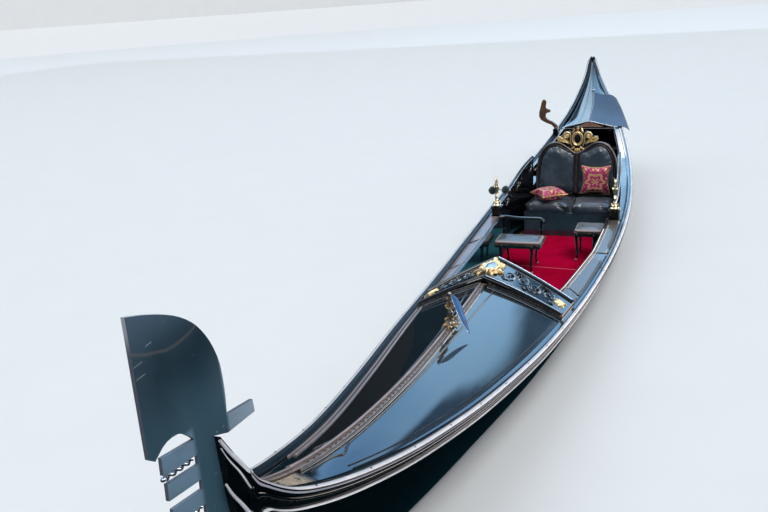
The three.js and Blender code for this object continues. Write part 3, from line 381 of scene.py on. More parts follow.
# Mesh helpers
def build(name, verts, faces, material, body="root", stands_for=(), angle=38, slot="gloss", weld=0.0,
          bevel=0.0):
    """A piece from vertices and faces in the boat's frame, smooth but for edges sharper than angle."""
    mesh = bpy.data.meshes.new(name)
    mesh.from_pydata([tuple(v) for v in verts], [], faces)
    bm = bmesh.new()
    bm.from_mesh(mesh)
    if weld:
        bmesh.ops.remove_doubles(bm, verts=bm.verts, dist=weld)
    if bevel:
        edges = [e for e in bm.edges if len(e.link_faces) == 2 and e.calc_face_angle(0) > 0.5]
        bmesh.ops.bevel(bm, geom=edges, offset=bevel, segments=2, affect="EDGES", profile=0.6,
                        clamp_overlap=True)
    bmesh.ops.recalc_face_normals(bm, faces=bm.faces)
    for face in bm.faces:
        face.smooth = True
    bm.to_mesh(mesh)
    bm.free()
    mesh.set_sharp_from_angle(angle=math.radians(angle))
    made = bpy.data.objects.new(name, mesh)
    scene.collection.objects.link(made)
    made.data.materials.append(material)
    if stands_for:
        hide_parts(*stands_for)
    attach(made, body)
    return made


class Heap:
    """Vertices and faces of several forms that make one piece."""

    def __init__(self):
        self.verts, self.faces = [], []

    def add(self, verts, faces):
        first = len(self.verts)
        self.verts += [Vector(v) for v in verts]
        self.faces += [tuple(first + i for i in face) for face in faces]
        return self

    def rings(self, rings, caps=True, closed=False):
        """A skin through rings of equal length; closed joins the last ring to the first."""
        size = len(rings[0])
        faces = []
        for i in range(len(rings) - (0 if closed else 1)):
            a, b = i * size, ((i + 1) % len(rings)) * size
            faces += [(a + j, a + (j + 1) % size, b + (j + 1) % size, b + j) for j in range(size)]
        if caps and not closed:
            faces += [tuple(range(size - 1, -1, -1)),
                      tuple(range(len(rings) * size - size, len(rings) * size))]
        return self.add([v for ring in rings for v in ring], faces)

    def sweep(self, points, ups, profile, caps=True, closed=False, scale=None):
        """A profile of (side, up) pairs carried along points; side is to the left of the way."""
        rings = []
        for i, p in enumerate(points):
            if closed:
                way = points[(i + 1) % len(points)] - points[i - 1]
            else:
                way = points[min(i + 1, len(points) - 1)] - points[max(i - 1, 0)]
            way.normalize()
            up = ups[i] if isinstance(ups, list) else ups
            side = up.cross(way).normalized()
            upright = way.cross(side)
            k = scale[i] if scale else 1.0
            rings.append([p + side * (a * k) + upright * (b * k) for a, b in profile])
        return self.rings(rings, caps, closed)

    def tube(self, points, radius, sides=8, closed=False, flat=1.0):
        """A round bar along points; radius is one number or one for each point."""
        radii = radius if isinstance(radius, list) else [radius] * len(points)
        up = Vector((0, 0, 1))
        first = (points[1] - points[0]).normalized()
        if abs(first.dot(up)) > 0.9:
            up = Vector((0, 1, 0))
        rings = []
        for i, p in enumerate(points):
            a = points[i - 1] if closed or i else points[0]
            b = points[(i + 1) % len(points)] if closed or i + 1 < len(points) else points[-1]
            way = (b - a).normalized()
            side = up.cross(way).normalized()
            up = way.cross(side).normalized()
            rings.append([p + (side * math.cos(t) + up * (math.sin(t) * flat)) * radii[i]
                          for t in (2 * math.pi * j / sides for j in range(sides))])
        return self.rings(rings, True, closed)

    def turned(self, profile, where, segments=20, axis=Vector((0, 0, 1)), wobble=None):
        """A turned form from (radius, height) pairs about an axis through a point."""
        side = axis.orthogonal().normalized()
        other = axis.cross(side)
        rings = []
        for r, h in profile:
            rings.append([where + axis * h + (side * math.cos(t) + other * math.sin(t))
                          * (max(r, 1e-5) * (wobble(t, h) if wobble else 1))
                          for t in (2 * math.pi * j / segments for j in range(segments))])
        return self.rings(rings)

    def slab(self, outline, matrix, thick, easing=0.0):
        """An outline of (a, b) pairs made thick along the matrix's third axis, its upper edge rounded."""
        heights = [(0, 0), (thick - easing, 0)]
        if easing:
            heights += [(thick - easing * (1 - math.sin(t)), easing * (1 - math.cos(t)))
                        for t in (math.pi / 6, math.pi / 3, math.pi / 2)]
        ring = [Vector((a, b)) for a, b in outline]
        mid = sum(ring, Vector((0, 0))) / len(ring)
        rings = []
        for h, drawn in heights:
            rings.append([matrix @ Vector((*(p + (mid - p).normalized() * drawn), h)) for p in ring])
        return self.rings(rings)

    def piece(self, name, material, **more):
        return build(name, self.verts, self.faces, material, **more)


def half_round(width, height, count=7, sink=0.001):
    """The section of a moulding with a rounded back, sunk a little in what carries it."""
    arc = [(math.cos(t) * width / 2, math.sin(t) * height) for t in np.linspace(0, math.pi, count)]
    return [(width / 2, -sink), *arc, (-width / 2, -sink)]


def curve(points, count):
    """A smooth line through points, with count points along it."""
    pts = [Vector(p) for p in points]
    pts = [2 * pts[0] - pts[1], *pts, 2 * pts[-1] - pts[-2]]
    out = []
    for k in np.linspace(0, len(pts) - 3, count):
        i = min(int(k), len(pts) - 4)
        w = k - i
        a, b, c, d = pts[i:i + 4]
        out.append(b + (c - a) * (0.5 * w) + (2 * a - 5 * b + 4 * c - d) * (0.5 * w * w)
                   + (3 * b - a - 3 * c + d) * (0.5 * w ** 3))
    return out


def spiral(turns, start, size, end=0.12, hand=1, count=18):
    """A scroll that winds in on (0, 0) from the distance size at the angle start, as (a, b) pairs."""
    out = []
    for k in np.linspace(0, 1, count):
        r = size * (1 - k * (1 - end))
        t = start + hand * k * turns * 2 * math.pi
        out.append((r * math.cos(t), r * math.sin(t)))
    return out


def dressed(node, material, slot, bevel=0.002, angle=35, name=None, rim=None):
    """The CAD node's own shape with its edges eased; rim is the finish of a flat plate's narrow faces."""
    source = nodes[node].data
    made = build(name or node + "_eased", [v.co for v in source.vertices],
                 [tuple(p.vertices) for p in source.polygons],
                 material, body=nodes[node]["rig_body"], stands_for=(node,), angle=angle, slot=slot,
                 weld=1e-5,
                 bevel=bevel)
    if rim:
        made.data.materials.append(rim)
        for face in made.data.polygons:
            face.material_index = 0 if abs(face.normal.y) > 0.93 else 1
    return made


# Materials
GLOSS = lacquer("gloss_lacquer")
PLAIN = lacquer("plain_lacquer", rubbing=0)
DECK = lacquer("deck_lacquer", rough=0.012, dust=0.02, rubbing=0)
DUSTY = satin("dusty_lacquer", (0.075, 0.060, 0.045), (0.16, 0.12, 0.10), 0.62, 0.07)
SIDE_SATIN = satin("satin_deck", (0.16, 0.125, 0.120), (0.26, 0.20, 0.17), 0.5, 0.14)
WORN = satin("worn_black", (0.012, 0.011, 0.012), (0.24, 0.17, 0.11))
# Pale pinkish satin standing in for highlights on black beads: painted highlight
HIGHLIGHT_BEAD = satin("painted_highlight_bead", (0.17, 0.135, 0.135), (0.40, 0.32, 0.28), 0.5, 0.2)
STEEL = metal("polished_steel", (0.60, 0.63, 0.66), (0.34, 0.38, 0.42), 0.22, (6, 6, 0.4))
SILVER = metal("silvered_moulding", (0.82, 0.83, 0.84), (0.48, 0.47, 0.46), 0.16, (0.5, 9, 9))
BRASS = metal("polished_brass", (0.96, 0.80, 0.50), (0.72, 0.52, 0.25), 0.22, (3, 3, 3), 0.25,
              (0.06, 0.03, 0.012))
GILT = gilding("gilded_carving", (1.0, 0.76, 0.38), (0.62, 0.38, 0.16))
RIDGE_BROWN = gilding("ridge_brown", (0.17, 0.125, 0.10), (0.045, 0.032, 0.026), 0.6, 0.2)
INKED = lacquer("relief_lacquer", rough=0.05, rubbing=0)
DULL = satin("dull_black", (0.002, 0.006, 0.010), (0.012, 0.018, 0.024), 0.05, 0.35)
# Pale and lilac paints for the painted highlight lines on the rails, the rub mouldings and the stem
PALE = satin("pale_painted_highlight", (0.46, 0.46, 0.49), (0.40, 0.36, 0.36), 0.6, 0.15)
LILAC = satin("lilac_painted_highlight", (0.27, 0.265, 0.31), (0.30, 0.28, 0.30), 0.5, 0.2)


def columns(low, high, step=0.03):
    """x values from high to low, close enough for a smooth line."""
    count = max(2, int((high - low) / step))
    return [high + (low - high) * i / count for i in range(count + 1)]


def sunk(side, x):
    """How far the after deck's edge lies below its place under the rail."""
    start = -3.75 if side == "star" else -4.60
    return 0.048 * min(max((start - x) / 0.15, 0), 1) * min(max((x + 5.32) / 0.5, 0), 1)


# Hull
fine = FINE[::3]
for side in SIGN:
    s = SIGN[side]
    full = FULL[side]
    outer_t = [0, 0.12, 0.25, 0.38, 0.5, 0.62, 0.74, 0.84, 0.92, 1]
    skin = Heap().rings([[shell(c, side, t) for t in outer_t]
                         + [shell(c, side, t, -min(PLANK, 0.4 * c[CHINE[side]])) for t in outer_t[::-1]]
                         for c in fine])
    skin.piece(f"hull_skin_{full}", GLOSS,
               stands_for=[f"side_{full}_{k}" for k in ("fore", "mid", "quarter", "aft")], angle=50)

    # Section of the rail from its inner face: flat, then the broad half-round and a fine bead below
    def rail_section(c):
        w = rail_width(c, side)
        k = w / RAIL_W
        pts = [(0, -RAIL_H - sunk(side, c[X])), (0, -0.003), (0.003, -0.0004), (0.012, -0.0012),
               (0.030, -0.0022), (0.0335, -0.0006)]
        pts += [(0.050 + 0.0165 * math.cos(a), -0.0135 + 0.0165 * math.sin(a))
                for a in np.linspace(2.6, -0.9, 10)]
        pts += [(0.055, -0.029)]
        pts += [(0.056 + 0.0058 * math.cos(a), -0.0345 + 0.0058 * math.sin(a))
                for a in np.linspace(1.3, -1.6, 6)]
        st = steep(c[X])
        y0 = c[HALF[side]] - w
        return [Vector((c[X],
                        s * (y0 + a * (k if a < 0.034 else 1) - (0 if a < 0.034 else (1 - k) * 0.034)),
                        c[RAIL_Z] + b * st)) for a, b in pts]
    Heap().rings([rail_section(c) for c in fine]).piece(
        f"rail_moulding_{full}", PLAIN if side == "port" else DULL,
        stands_for=[f"rail_{full}_fore", f"rail_{full}_aft"], angle=42)

    def rub_section(c):
        t = [share(c, RUB_DEPTH + k * RUB_HIGH / 2) for k in (1, 0.75, 0.35, 0, -0.35, -0.75, -1)]
        out = [0.0005, 0.0085, 0.0128, 0.014, 0.0128, 0.0085, 0.0005]
        return [shell(c, side, a, b) for a, b in zip(t, out)]
    Heap().rings([rub_section(c) for c in fine]).piece(f"rub_moulding_{full}", PLAIN, angle=60)

    # The painted highlights: pale paint along the rail's rounded top, and fainter lines on the bead and the
    # rub moulding, where the black lacquer mirrors the bright sky; the band is wider on the port side
    def highlight_band(c, across, down, radius, first, last):
        w = rail_width(c, side)
        st = steep(c[X])
        y0 = c[HALF[side]] - w - (1 - w / RAIL_W) * 0.034
        turns = np.linspace(first, last, 7)
        arc = [(across + (radius + k) * math.cos(a), down + (radius + k) * math.sin(a))
               for k, way in ((0.0006, 1), (-0.0016, -1)) for a in turns[::way]]
        return [Vector((c[X], s * (y0 + a), c[RAIL_Z] + b * st)) for a, b in arc]
    first, last = (2.25, 0.70) if side == "port" else (1.95, 1.10)
    Heap().rings([highlight_band(c, 0.050, -0.0135, 0.0165, first, last) for c in fine]).piece(
        f"rail_pale_line_{full}", PALE, angle=60)
    Heap().rings([highlight_band(c, 0.050, -0.0135, 0.0165, 0.28, -0.10) for c in fine]).piece(
        f"rail_bead_line_{full}", LILAC, angle=60)

    # The rub moulding's pale line, a painted highlight
    def rub_band(c):
        t = [share(c, RUB_DEPTH + k * RUB_HIGH / 2) for k in (-0.40, -0.60, -0.78, -0.90)]
        out = [0.0124, 0.0106, 0.0080, 0.0045]
        return [shell(c, side, a, b + 0.0006) for a, b in zip(t, out)] + \
            [shell(c, side, a, b - 0.0016) for a, b in zip(t[::-1], out[::-1])]
    Heap().rings([rub_band(c) for c in fine]).piece(f"rub_pale_line_{full}", PALE, angle=60)

    # The mouldings run on up the sides of the stem post to its head
    c = FINE[0]
    z0, y0, st = c[RAIL_Z], c[HALF[side]], steep(c[X])
    rub = shell(c, side, share(c, RUB_DEPTH))
    head = Heap()
    for lift, thick, end_thick in ((-0.0135, 0.0165, 0.0085), (-0.0345, 0.0062, 0.0045)):
        line = curve([(c[X] - 0.012, s * y0, z0 - 0.016 * st + lift * st),
                      (c[X], s * (y0 - 0.001), z0 + lift * st),
                      (5.000, s * 0.0475, 1.178 + lift * 1.5), (5.020, s * 0.0355, 1.218 + lift * 1.3),
                      (5.034, s * 0.0225, 1.264 + lift)], 26)
        head.tube(line, [float(k) for k in np.linspace(thick, end_thick, 26)], 12)
    line = curve([rub - Vector((0.014, 0, 0.020)), rub, Vector((5.003, s * 0.044, rub.z + 0.055)),
                  Vector((5.026, s * 0.031, rub.z + 0.105)), Vector((5.040, s * 0.022, rub.z + 0.150))], 24)
    head.tube(line, [float(k) for k in np.linspace(0.0128, 0.006, 24)], 12, flat=0.8)
    head.piece(f"stem_mouldings_{full}", PLAIN, angle=60)
    # Pale lines along the tops of the stem mouldings: painted highlights, partly their worn edges
    lit = Heap()
    for lift, thick in ((-0.004, 0.0095), (-0.031, 0.0046)):
        line = curve([(c[X] - 0.010, s * (y0 + 0.006), z0 - 0.008 * st + lift * st),
                      (c[X] + 0.002, s * (y0 + 0.004), z0 + lift * st),
                      (5.002, s * 0.0555, 1.178 + lift * 1.5), (5.022, s * 0.0420, 1.218 + lift * 1.3),
                      (5.038, s * 0.0260, 1.264 + lift)], 26)
        lit.tube(line, [float(k) for k in np.linspace(thick, thick * 0.6, 26)], 8)
    out = Vector((0.005, s * 0.007, 0.006))
    line = curve([rub + out, Vector((5.003, s * 0.044, rub.z + 0.055)) + out,
                  Vector((5.026, s * 0.031, rub.z + 0.105)) + out,
                  Vector((5.040, s * 0.022, rub.z + 0.150)) + out], 24)
    lit.tube(line, [float(k) for k in np.linspace(0.0075, 0.004, 24)], 8)
    lit.piece(f"stem_highlight_lines_{full}", PALE, angle=60)

    # Plugs over the rail's fastenings
    plugs = Heap()
    for x in columns(-4.9, 4.7, 0.31):
        c = at(x)
        where = Vector((x, s * (c[HALF[side]] + 0.002), c[RAIL_Z] + 0.0028 * steep(x)))
        plugs.turned([(0, -0.003), (0.0056, -0.003), (0.0056, 0.0004), (0.0046, 0.0012), (0, 0.0014)],
                     where, 10)
    plugs.piece(f"rail_plugs_{full}", WORN)

# Foredeck panels, smooth from ridge to rail
EDGES = columns(BOARD_EDGE, FORE_X, 0.035) + columns(AFT_EDGE, BOARD_EDGE, 0.03)[1:]
for side in SIGN:
    full = FULL[side]

    def first(e):
        return (RIDGE_HALF + GAP) / inner(at(e), side)
    rings = []
    for e in EDGES:
        vs = np.linspace(first(e), 1, 7)
        rings.append([deck(side, e, v) for v in vs] + [deck(side, e, v, -DECK_THICK) for v in vs[::-1]])
    Heap().rings(rings).piece(f"foredeck_panel_{full}", DECK, stands_for=[f"foredeck_{full}"], angle=50)


def deck_up(side, e, v):
    """The deck's own upward direction."""
    a = deck(side, e + 0.02, v) - deck(side, e - 0.02, v)
    b = deck(side, e, v + 0.02) - deck(side, e, v - 0.02)
    n = a.cross(b).normalized()
    return n if n.z > 0 else -n


def on_deck(side, path, count, profile, heap, lift=0.0, scale=None):
    """A moulding along (e, v) points of the deck."""
    line = curve([(e, v, 0) for e, v in path], count)
    points = [deck(side, p.x, p.y, lift) for p in line]
    ups = [deck_up(side, p.x, p.y) for p in line]
    return heap.sweep(points, ups, profile, scale=scale)


# The panels' framing beads: along the ridge to an ogee near the bow, and twin beads beside the rail
LINE = {
    # e along the rail and v out from the ridge
    "port": [(1.985, 0.170), (2.36, 0.142), (2.9, 0.122), (3.42, 0.120), (3.86, 0.140), (4.1, 0.165),
             (4.22, 0.20),
             (4.275, 0.27)],
    "star": [(2.0, 0.20), (2.36, 0.17), (2.9, 0.145), (3.42, 0.14), (3.86, 0.16), (4.1, 0.185),
             (4.22, 0.22),
             (4.275, 0.29)],
}
HOOK = [(4.275, 0.29), (4.31, 0.36), (4.335, 0.40), (4.37, 0.33), (4.42, 0.29), (4.50, 0.33), (4.575, 0.44)]
for side in SIGN:
    full = FULL[side]
    beads = Heap()
    on_deck(side, LINE[side], 70, half_round(0.011, 0.006), beads)
    on_deck(side, HOOK, 34, half_round(0.010, 0.006), beads)
    beads.piece(f"panel_bead_{full}", WORN, angle=60)
    twin = Heap()
    # Beside the starboard rail the twin beads take the pale bead paint, a painted highlight
    for spacing, wide, high in ((0.030, 0.007, 0.0035), (0.009, 0.005, 0.003)) if side == "port" else (
            (0.040, 0.014, 0.008), (0.012, 0.011, 0.008)):
        path = [(e, 1 - spacing / inner(at(e), side)) for e in columns(1.99, 4.40, 0.08)]
        on_deck(side, path, 90, half_round(wide, high), twin)
    twin.piece(f"edge_beads_{full}", DULL if side == "port" else HIGHLIGHT_BEAD, angle=60)

# Stepped mouldings below the V-board's fore edge
for side in SIGN:
    full = FULL[side]
    stretch = Heap()
    for near, wide, high in ((0.0, 0.020, 0.022), (0.022, 0.024, 0.013), (0.048, 0.012, 0.007)):
        points = [deck(side, BOARD_EDGE + near + wide / 2, v)
                  for v in np.linspace(0.07 if near else 0.065, 0.985, 24)]
        ups = [deck_up(side, BOARD_EDGE + 0.03, v) for v in np.linspace(0.07, 0.985, 24)]
        stretch.sweep(points, ups, [(wide / 2, -0.001), (wide / 2, high * 0.8), (wide / 2 - 0.003, high),
                                   (0.003 - wide / 2, high), (-wide / 2, high * 0.8), (-wide / 2, -0.001)])
    stretch.piece(f"board_steps_{full}", GLOSS, angle=35)


# Finishes of the seat and its dressing
# Both leathers' colours are lightened and tinted blue as painted sky reflection; the second colour of each is
# its painted sheen
BLACK_LEATHER = leather("black_leather", (0.017, 0.033, 0.050), (0.058, 0.100, 0.145), 0.5, 0.33)
SATIN_LEATHER = leather("seat_leather", (0.014, 0.020, 0.033), (0.052, 0.072, 0.112), 0.7, 0.25)
BRONZE = metal("bronze_edging", (0.22, 0.19, 0.18), (0.11, 0.085, 0.075), 0.36, (4, 4, 4), 0.15)


def damask(name):
    """Magenta silk with a mirrored floral pattern in gold thread."""
    p = Paint(name, Sheen_Weight=0.4, Sheen_Roughness=0.4, Specular_IOR_Level=0.5)
    u, v = abs(p.x), p.y
    sway = (v * 38).sine() * 0.014
    stems = ((u + sway) * 118).sine() * ((v - u * 0.6) * 86).sine()
    radius = (u * u + (v + 0.02) * (v + 0.02)) ** 0.5
    angle = p.node("ShaderNodeMath", {"operation": "ARCTAN2"}, {0: u, 1: v + 0.02})
    petals = radius * 95 + (angle * 7).sine() * 1.5
    flower = petals.sine() * radius.step(0.14, 0.09)
    ground = (stems * 0.8 + flower * 1.2).step(0.02, 0.28)
    broken = p.noise(120, 3, 0.7).step(0.35, 0.55)
    gold = ground * (broken * 0.5 + 0.5)
    deep = p.noise(26, 3, 0.6).step(0.35, 0.65)
    weave = (p.x * 1900).sine() * (p.y * 1900).sine() * 0.5 + 0.5
    colour = p.mix(deep, (0.33, 0.004, 0.085), (0.52, 0.012, 0.17))
    colour = p.mix(gold * 0.92, colour, (0.78, 0.50, 0.20))
    p.bump(ground + weave * 0.3, 0.0009, 0.5)
    p.bump(p.noise(7, 3, 0.5), 0.012, 0.35)
    return p.finish(Base_Color=colour, Roughness=0.62 - gold * 0.22, Metallic=gold * 0.35)


DAMASK = damask("damask")
GOLD_CORD = gilding("gold_cord", (0.74, 0.50, 0.20), (0.46, 0.28, 0.10), 0.5)


# Soft pieces
def stuffed(name, verts, faces, material, node, place=Matrix(), voxel=0.012, pressure=4.0,
            cap=0.02,
            rounds=20, held=None):
    """A stuffed form that swells under pressure as cloth does; held says which points stay sewn."""
    mesh = bpy.data.meshes.new(name)
    mesh.from_pydata([tuple(v) for v in verts], [], faces)
    bm = bmesh.new()
    bm.from_mesh(mesh)
    bmesh.ops.recalc_face_normals(bm, faces=bm.faces)
    bm.to_mesh(mesh)
    bm.free()
    made = bpy.data.objects.new(name, mesh)
    scene.collection.objects.link(made)
    scene.view_layers[0].objects.active = made
    if voxel:
        remesh = made.modifiers.new("remesh", "REMESH")
        remesh.mode, remesh.voxel_size = "VOXEL", voxel
        settle(made)
    before = [v.co.copy() for v in made.data.vertices]
    cloth = made.modifiers.new("cloth", "CLOTH")
    cloth.settings.quality = 5
    cloth.settings.mass = 0.3
    cloth.settings.use_pressure = True
    cloth.settings.uniform_pressure_force = pressure
    cloth.settings.tension_stiffness = cloth.settings.compression_stiffness = 15
    cloth.settings.bending_stiffness = 0.5
    cloth.settings.effector_weights.gravity = 0
    cloth.collision_settings.use_collision = False
    if held:
        group = made.vertex_groups.new(name="sewn")
        group.add([i for i, p in enumerate(before) if held(p)], 1.0, "REPLACE")
        cloth.settings.vertex_group_mass = "sewn"
    for step in range(1, rounds + 1):
        scene.frame_set(step)
    settle(made)
    for vert, start in zip(made.data.vertices, before):
        moved = vert.co - start
        if moved.length > cap:
            vert.co = start + moved * (cap / moved.length)
    scene.frame_set(1)
    finer = made.modifiers.new("finer", "SUBSURF")
    finer.levels = finer.render_levels = 1
    settle(made)
    made.data.polygons.foreach_set("use_smooth", [True] * len(made.data.polygons))
    made.matrix_world = place
    made.data.materials.append(material)
    if node:
        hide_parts(*([node] if isinstance(node, str) else node))
    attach(made, "root")
    return made


def settle(made):
    """Turns what the modifiers show into the piece's own mesh."""
    shown = made.evaluated_get(bpy.context.evaluated_depsgraph_get())
    mesh = bpy.data.meshes.new_from_object(shown)
    made.modifiers.clear()
    made.data = mesh


def crowned(outline, low, high, inset=0.02, rows=(0.0, 0.35, 0.65, 0.86, 1.0)):
    """Rings of a pad on an outline of (a, b) pairs, from its flat back to its crown, thick along x."""
    mid = sum((Vector(p) for p in outline), Vector((0, 0))) / len(outline)
    rings = [[Vector((low, *p)) for p in outline]]
    for k in rows:
        h = low + (high - low) * math.sin(k * math.pi / 2) ** 0.8
        drawn = inset * (1 - math.cos(k * math.pi / 2)) + 0.002
        rings.append([Vector((h, *(Vector(p) + (mid - Vector(p)).normalized() * drawn))) for p in outline])
    return rings


SEAT_X1, SEAT_TOP, SEAT_MID, BACK_X, LEAN = -1.325, 0.205, 0.215, -1.76, math.radians(9)
BACK_FOOT = Vector((BACK_X, SEAT_MID, SEAT_TOP + 0.03 * math.sin(LEAN) + GAP))
BACK = Matrix.Translation(BACK_FOOT) @ Matrix.Rotation(-LEAN, 4, "Y")
HUMP = [(0.445, 0.0), (0.450, 0.30), (0.440, 0.44), (0.410, 0.55), (0.350, 0.64), (0.270, 0.68),
        (0.190, 0.672),
        (0.110, 0.625), (0.040, 0.575), (0.0, 0.563)]
PAD = [(0.024, 0.12), (0.21, 0.116), (0.402, 0.12), (0.416, 0.21), (0.414, 0.30), (0.402, 0.44),
       (0.374, 0.53),
       (0.328, 0.606), (0.264, 0.643), (0.196, 0.636), (0.112, 0.588), (0.024, 0.536), (0.022, 0.33)]


def closed_curve(points, count):
    """A smooth closed line through (a, b) points."""
    pts = [Vector((*p, 0)) for p in points]
    out = []
    for k in np.linspace(0, len(pts), count, endpoint=False):
        i, w = int(k), k - int(k)
        a, b, c, d = (pts[(i + j) % len(pts)] for j in (-1, 0, 1, 2))
        p = b + (c - a) * (0.5 * w) + (2 * a - 5 * b + 4 * c - d) * (0.5 * w * w) + (3 * b - a - 3 * c
                                                                                     + d) * (0.5 * w ** 3)
        out.append((p.x, p.y))
    return out


# The board behind the back pads, with the bronze moulding round its face and between the pads
right = [(p.x, p.y) for p in curve([(*p, 0) for p in HUMP], 44)]
outline = right + [(-a, z) for a, z in right[-2::-1]]
board_back = Heap()
easings = [(-0.030, 0.004), (-0.026, 0.0), (-0.004, 0.0), (0.0, 0.004)]
board_back.rings([[BACK @ Vector((x, a * (1 - d / 0.45), z - (d if z > 0.05 else 0))) for a, z in outline]
                  for x, d in easings])
board_back.piece("back_board", GLOSS, stands_for=["seat_back"], angle=40)
edging = Heap()
edge_line = [BACK @ Vector((0.001, a * 0.968, z - 0.014)) for a, z in outline[2:-2] if z > 0.03]
front = (BACK.to_3x3() @ Vector((1, 0, 0))).normalized()
edging.sweep(edge_line, front, half_round(0.026, 0.016, 7, 0.0))
seam = [BACK @ Vector((0.001, 0, z)) for z in np.linspace(0.112, 0.552, 20)]
edging.sweep(seam, front, half_round(0.026, 0.018, 7, 0.0))
edging.piece("back_edging", BRONZE, slot="leather", angle=60)
for side, full in FULL.items():
    s = SIGN[side]
    shape = closed_curve([(s * a, z) for a, z in PAD][::s], 64)
    rings = crowned(shape, 0.0004, 0.030, 0.075)
    heap = Heap().rings(rings)
    stuffed(f"back_cushion_{full}", heap.verts, heap.faces, BLACK_LEATHER, f"back_pad_{full}",
            BACK, 0.011, 3.0, 0.012, held=lambda p: p.x < 0.004)
    # Piping where the pad's face meets its side
    piping = Heap()
    piping.tube([BACK @ Vector((0.012, a, z)) for a, z in closed_curve([(s * a, z) for a, z in PAD], 90)],
                0.0045, 7, True)
    piping.piece(f"back_piping_{full}", BRONZE, slot="leather", angle=60)

# Love seat: the upholstered base with its gathered front, and two seat cushions
BASE = [(-1.86, -0.222), (-1.325, -0.285), (-1.325, 0.655), (-1.86, 0.655)]


def base_ring(z, swell):
    ring = []
    corners = [Vector((*p, 0)) for p in BASE]
    for i, a in enumerate(corners):
        b = corners[(i + 1) % 4]
        count = 60 if i == 1 else 30
        for k in range(count):
            w = k / count
            p = a.lerp(b, w)
            out = (b - a).cross(Vector((0, 0, 1))).normalized()
            fold = (math.sin(w * count * 0.75) * 0.6 + noise.noise(Vector((p.x * 9, p.y * 9, 2)))
                    * 0.8) * swell
            ring.append(Vector((p.x, p.y, z)) + out * (fold - abs(swell) - 0.001))
    return ring


BASE_HEIGHTS = ((-0.0597, 0.004), (0.0, 0.0035), (0.08, 0.003), (0.15, 0.002), (0.19, 0.001), (0.2, 0.0005),
                (0.2047, 0.004))
base = Heap().rings([base_ring(z, f) for z, f in BASE_HEIGHTS])
base.piece("seat_front", SATIN_LEATHER, stands_for=["seat_base"], slot="leather", angle=50)


def seat_block(y_aft, y_fore, y1, inset, z):
    """One ring of a seat cushion, its corners rounded and its sides drawn in between them."""
    x0, x1 = BACK_X + 0.044, SEAT_X1 + 0.018
    corners = [Vector((x0, y_aft, 0)), Vector((x1, y_fore, 0)), Vector((x1, y1, 0)), Vector((x0, y1, 0))]
    mid = sum(corners, Vector()) / 4
    ring = []
    for i, a in enumerate(corners):
        b = corners[(i + 1) % 4]
        for k in range(12):
            w = k / 12
            p = a.lerp(b, w)
            bow = math.sin(w * math.pi)
            corner = max(0, 1 - min(w, 1 - w) * 9)
            inward = (mid - p).normalized()
            p = p + inward * (inset + corner * corner * 0.022) + inward * (0.004 * bow)
            ring.append(Vector((p.x, p.y, z)))
    return ring


for side, full in FULL.items():
    ys = (-0.226, -0.281, SEAT_MID - 0.003)
    if side == "port":
        ys = (SEAT_MID + 0.003, SEAT_MID + 0.003, 0.653)
    heap = Heap().rings([seat_block(*ys, d, z) for d, z in (
        (0.030, 0.2056), (0.012, 0.2062), (0.005, 0.214), (0.004, 0.250), (0.008, 0.272), (0.024, 0.286),
        (0.060, 0.292))])
    stuffed(f"seat_pad_{full}", heap.verts, heap.faces, SATIN_LEATHER, f"seat_cushion_{full}",
            Matrix(), 0.012, 4.0, 0.020, held=lambda p: p.z < 0.209)
    welt = Heap()
    welt.tube(seat_block(*ys, 0.002, 0.283), 0.004, 7, True)
    welt.piece(f"seat_welt_{full}", SATIN_LEATHER, slot="leather", angle=60)


# Pillows: two squares of damask sewn at the rim and filled
def pillow(name, size, thick, place, node, fullness=0.55):
    half, count = size / 2, 28
    verts, faces, index = [], [], {}
    for level in (1, -1):
        for i in range(count + 1):
            for j in range(count + 1):
                u, v = 2 * i / count - 1, 2 * j / count - 1
                rim = abs(u) == 1 or abs(v) == 1
                if rim and level == -1:
                    index[level, i, j] = index[1, i, j]
                    continue
                draw = 1 - 0.055 * (math.cos(v * math.pi / 2) if abs(u) > abs(v)
                                    else math.cos(u * math.pi / 2))
                body = ((1 - u ** 4) * (1 - v ** 4)) ** 0.55
                index[level, i, j] = len(verts)
                verts.append(Vector((u * half * draw, v * half * draw,
                                     level * body * thick * fullness / 2)))
        for i in range(count):
            for j in range(count):
                quad = [index[level, i, j], index[level, i + 1, j], index[level, i + 1, j + 1],
                        index[level, i, j + 1]]
                faces.append(tuple(quad[::level]))
    rim = [index[1, i, 0] for i in range(count)] + [index[1, count, j] for j in range(count)] \
        + [index[1, i, count] for i in range(count, 0, -1)] + [index[1, 0, j] for j in range(count, 0, -1)]
    made = stuffed(name, verts, faces, DAMASK, node, place, 0, 5.0, 0.024)
    line = [place @ made.data.vertices[i].co for i in rim]
    cord = Heap()
    twisted = [line[i].lerp(line[(i + 1) % len(line)], k / 2) for i in range(len(line)) for k in range(2)]
    cord.tube(twisted, [0.0052 + 0.0011 * (i % 2) for i in range(len(twisted))], 7, True)
    cord.piece(name + "_cord", GOLD_CORD, slot="gilt", angle=70)
    return made


lying = Matrix.Translation((-1.5, -0.04, 0.376)) @ Matrix.Rotation(math.radians(38), 4, "Z")
pillow("damask_pillow_lying", 0.325, 0.12, lying, "pillow_lying")
standing = Matrix.Translation((-1.707, 0.437, 0.489)) @ Matrix.Rotation(math.radians(81), 4, "Y") \
    @ Matrix.Rotation(math.radians(90), 4, "Z")
pillow("damask_pillow_standing", 0.335, 0.11, standing, "pillow_standing")


# Carving: leaves, scrolls and roses laid out in a plane
def raised(lay, a, b):
    """The way out of a carved surface at a place on it."""
    return (lay(a, b, 0.01) - lay(a, b, 0)).normalized()


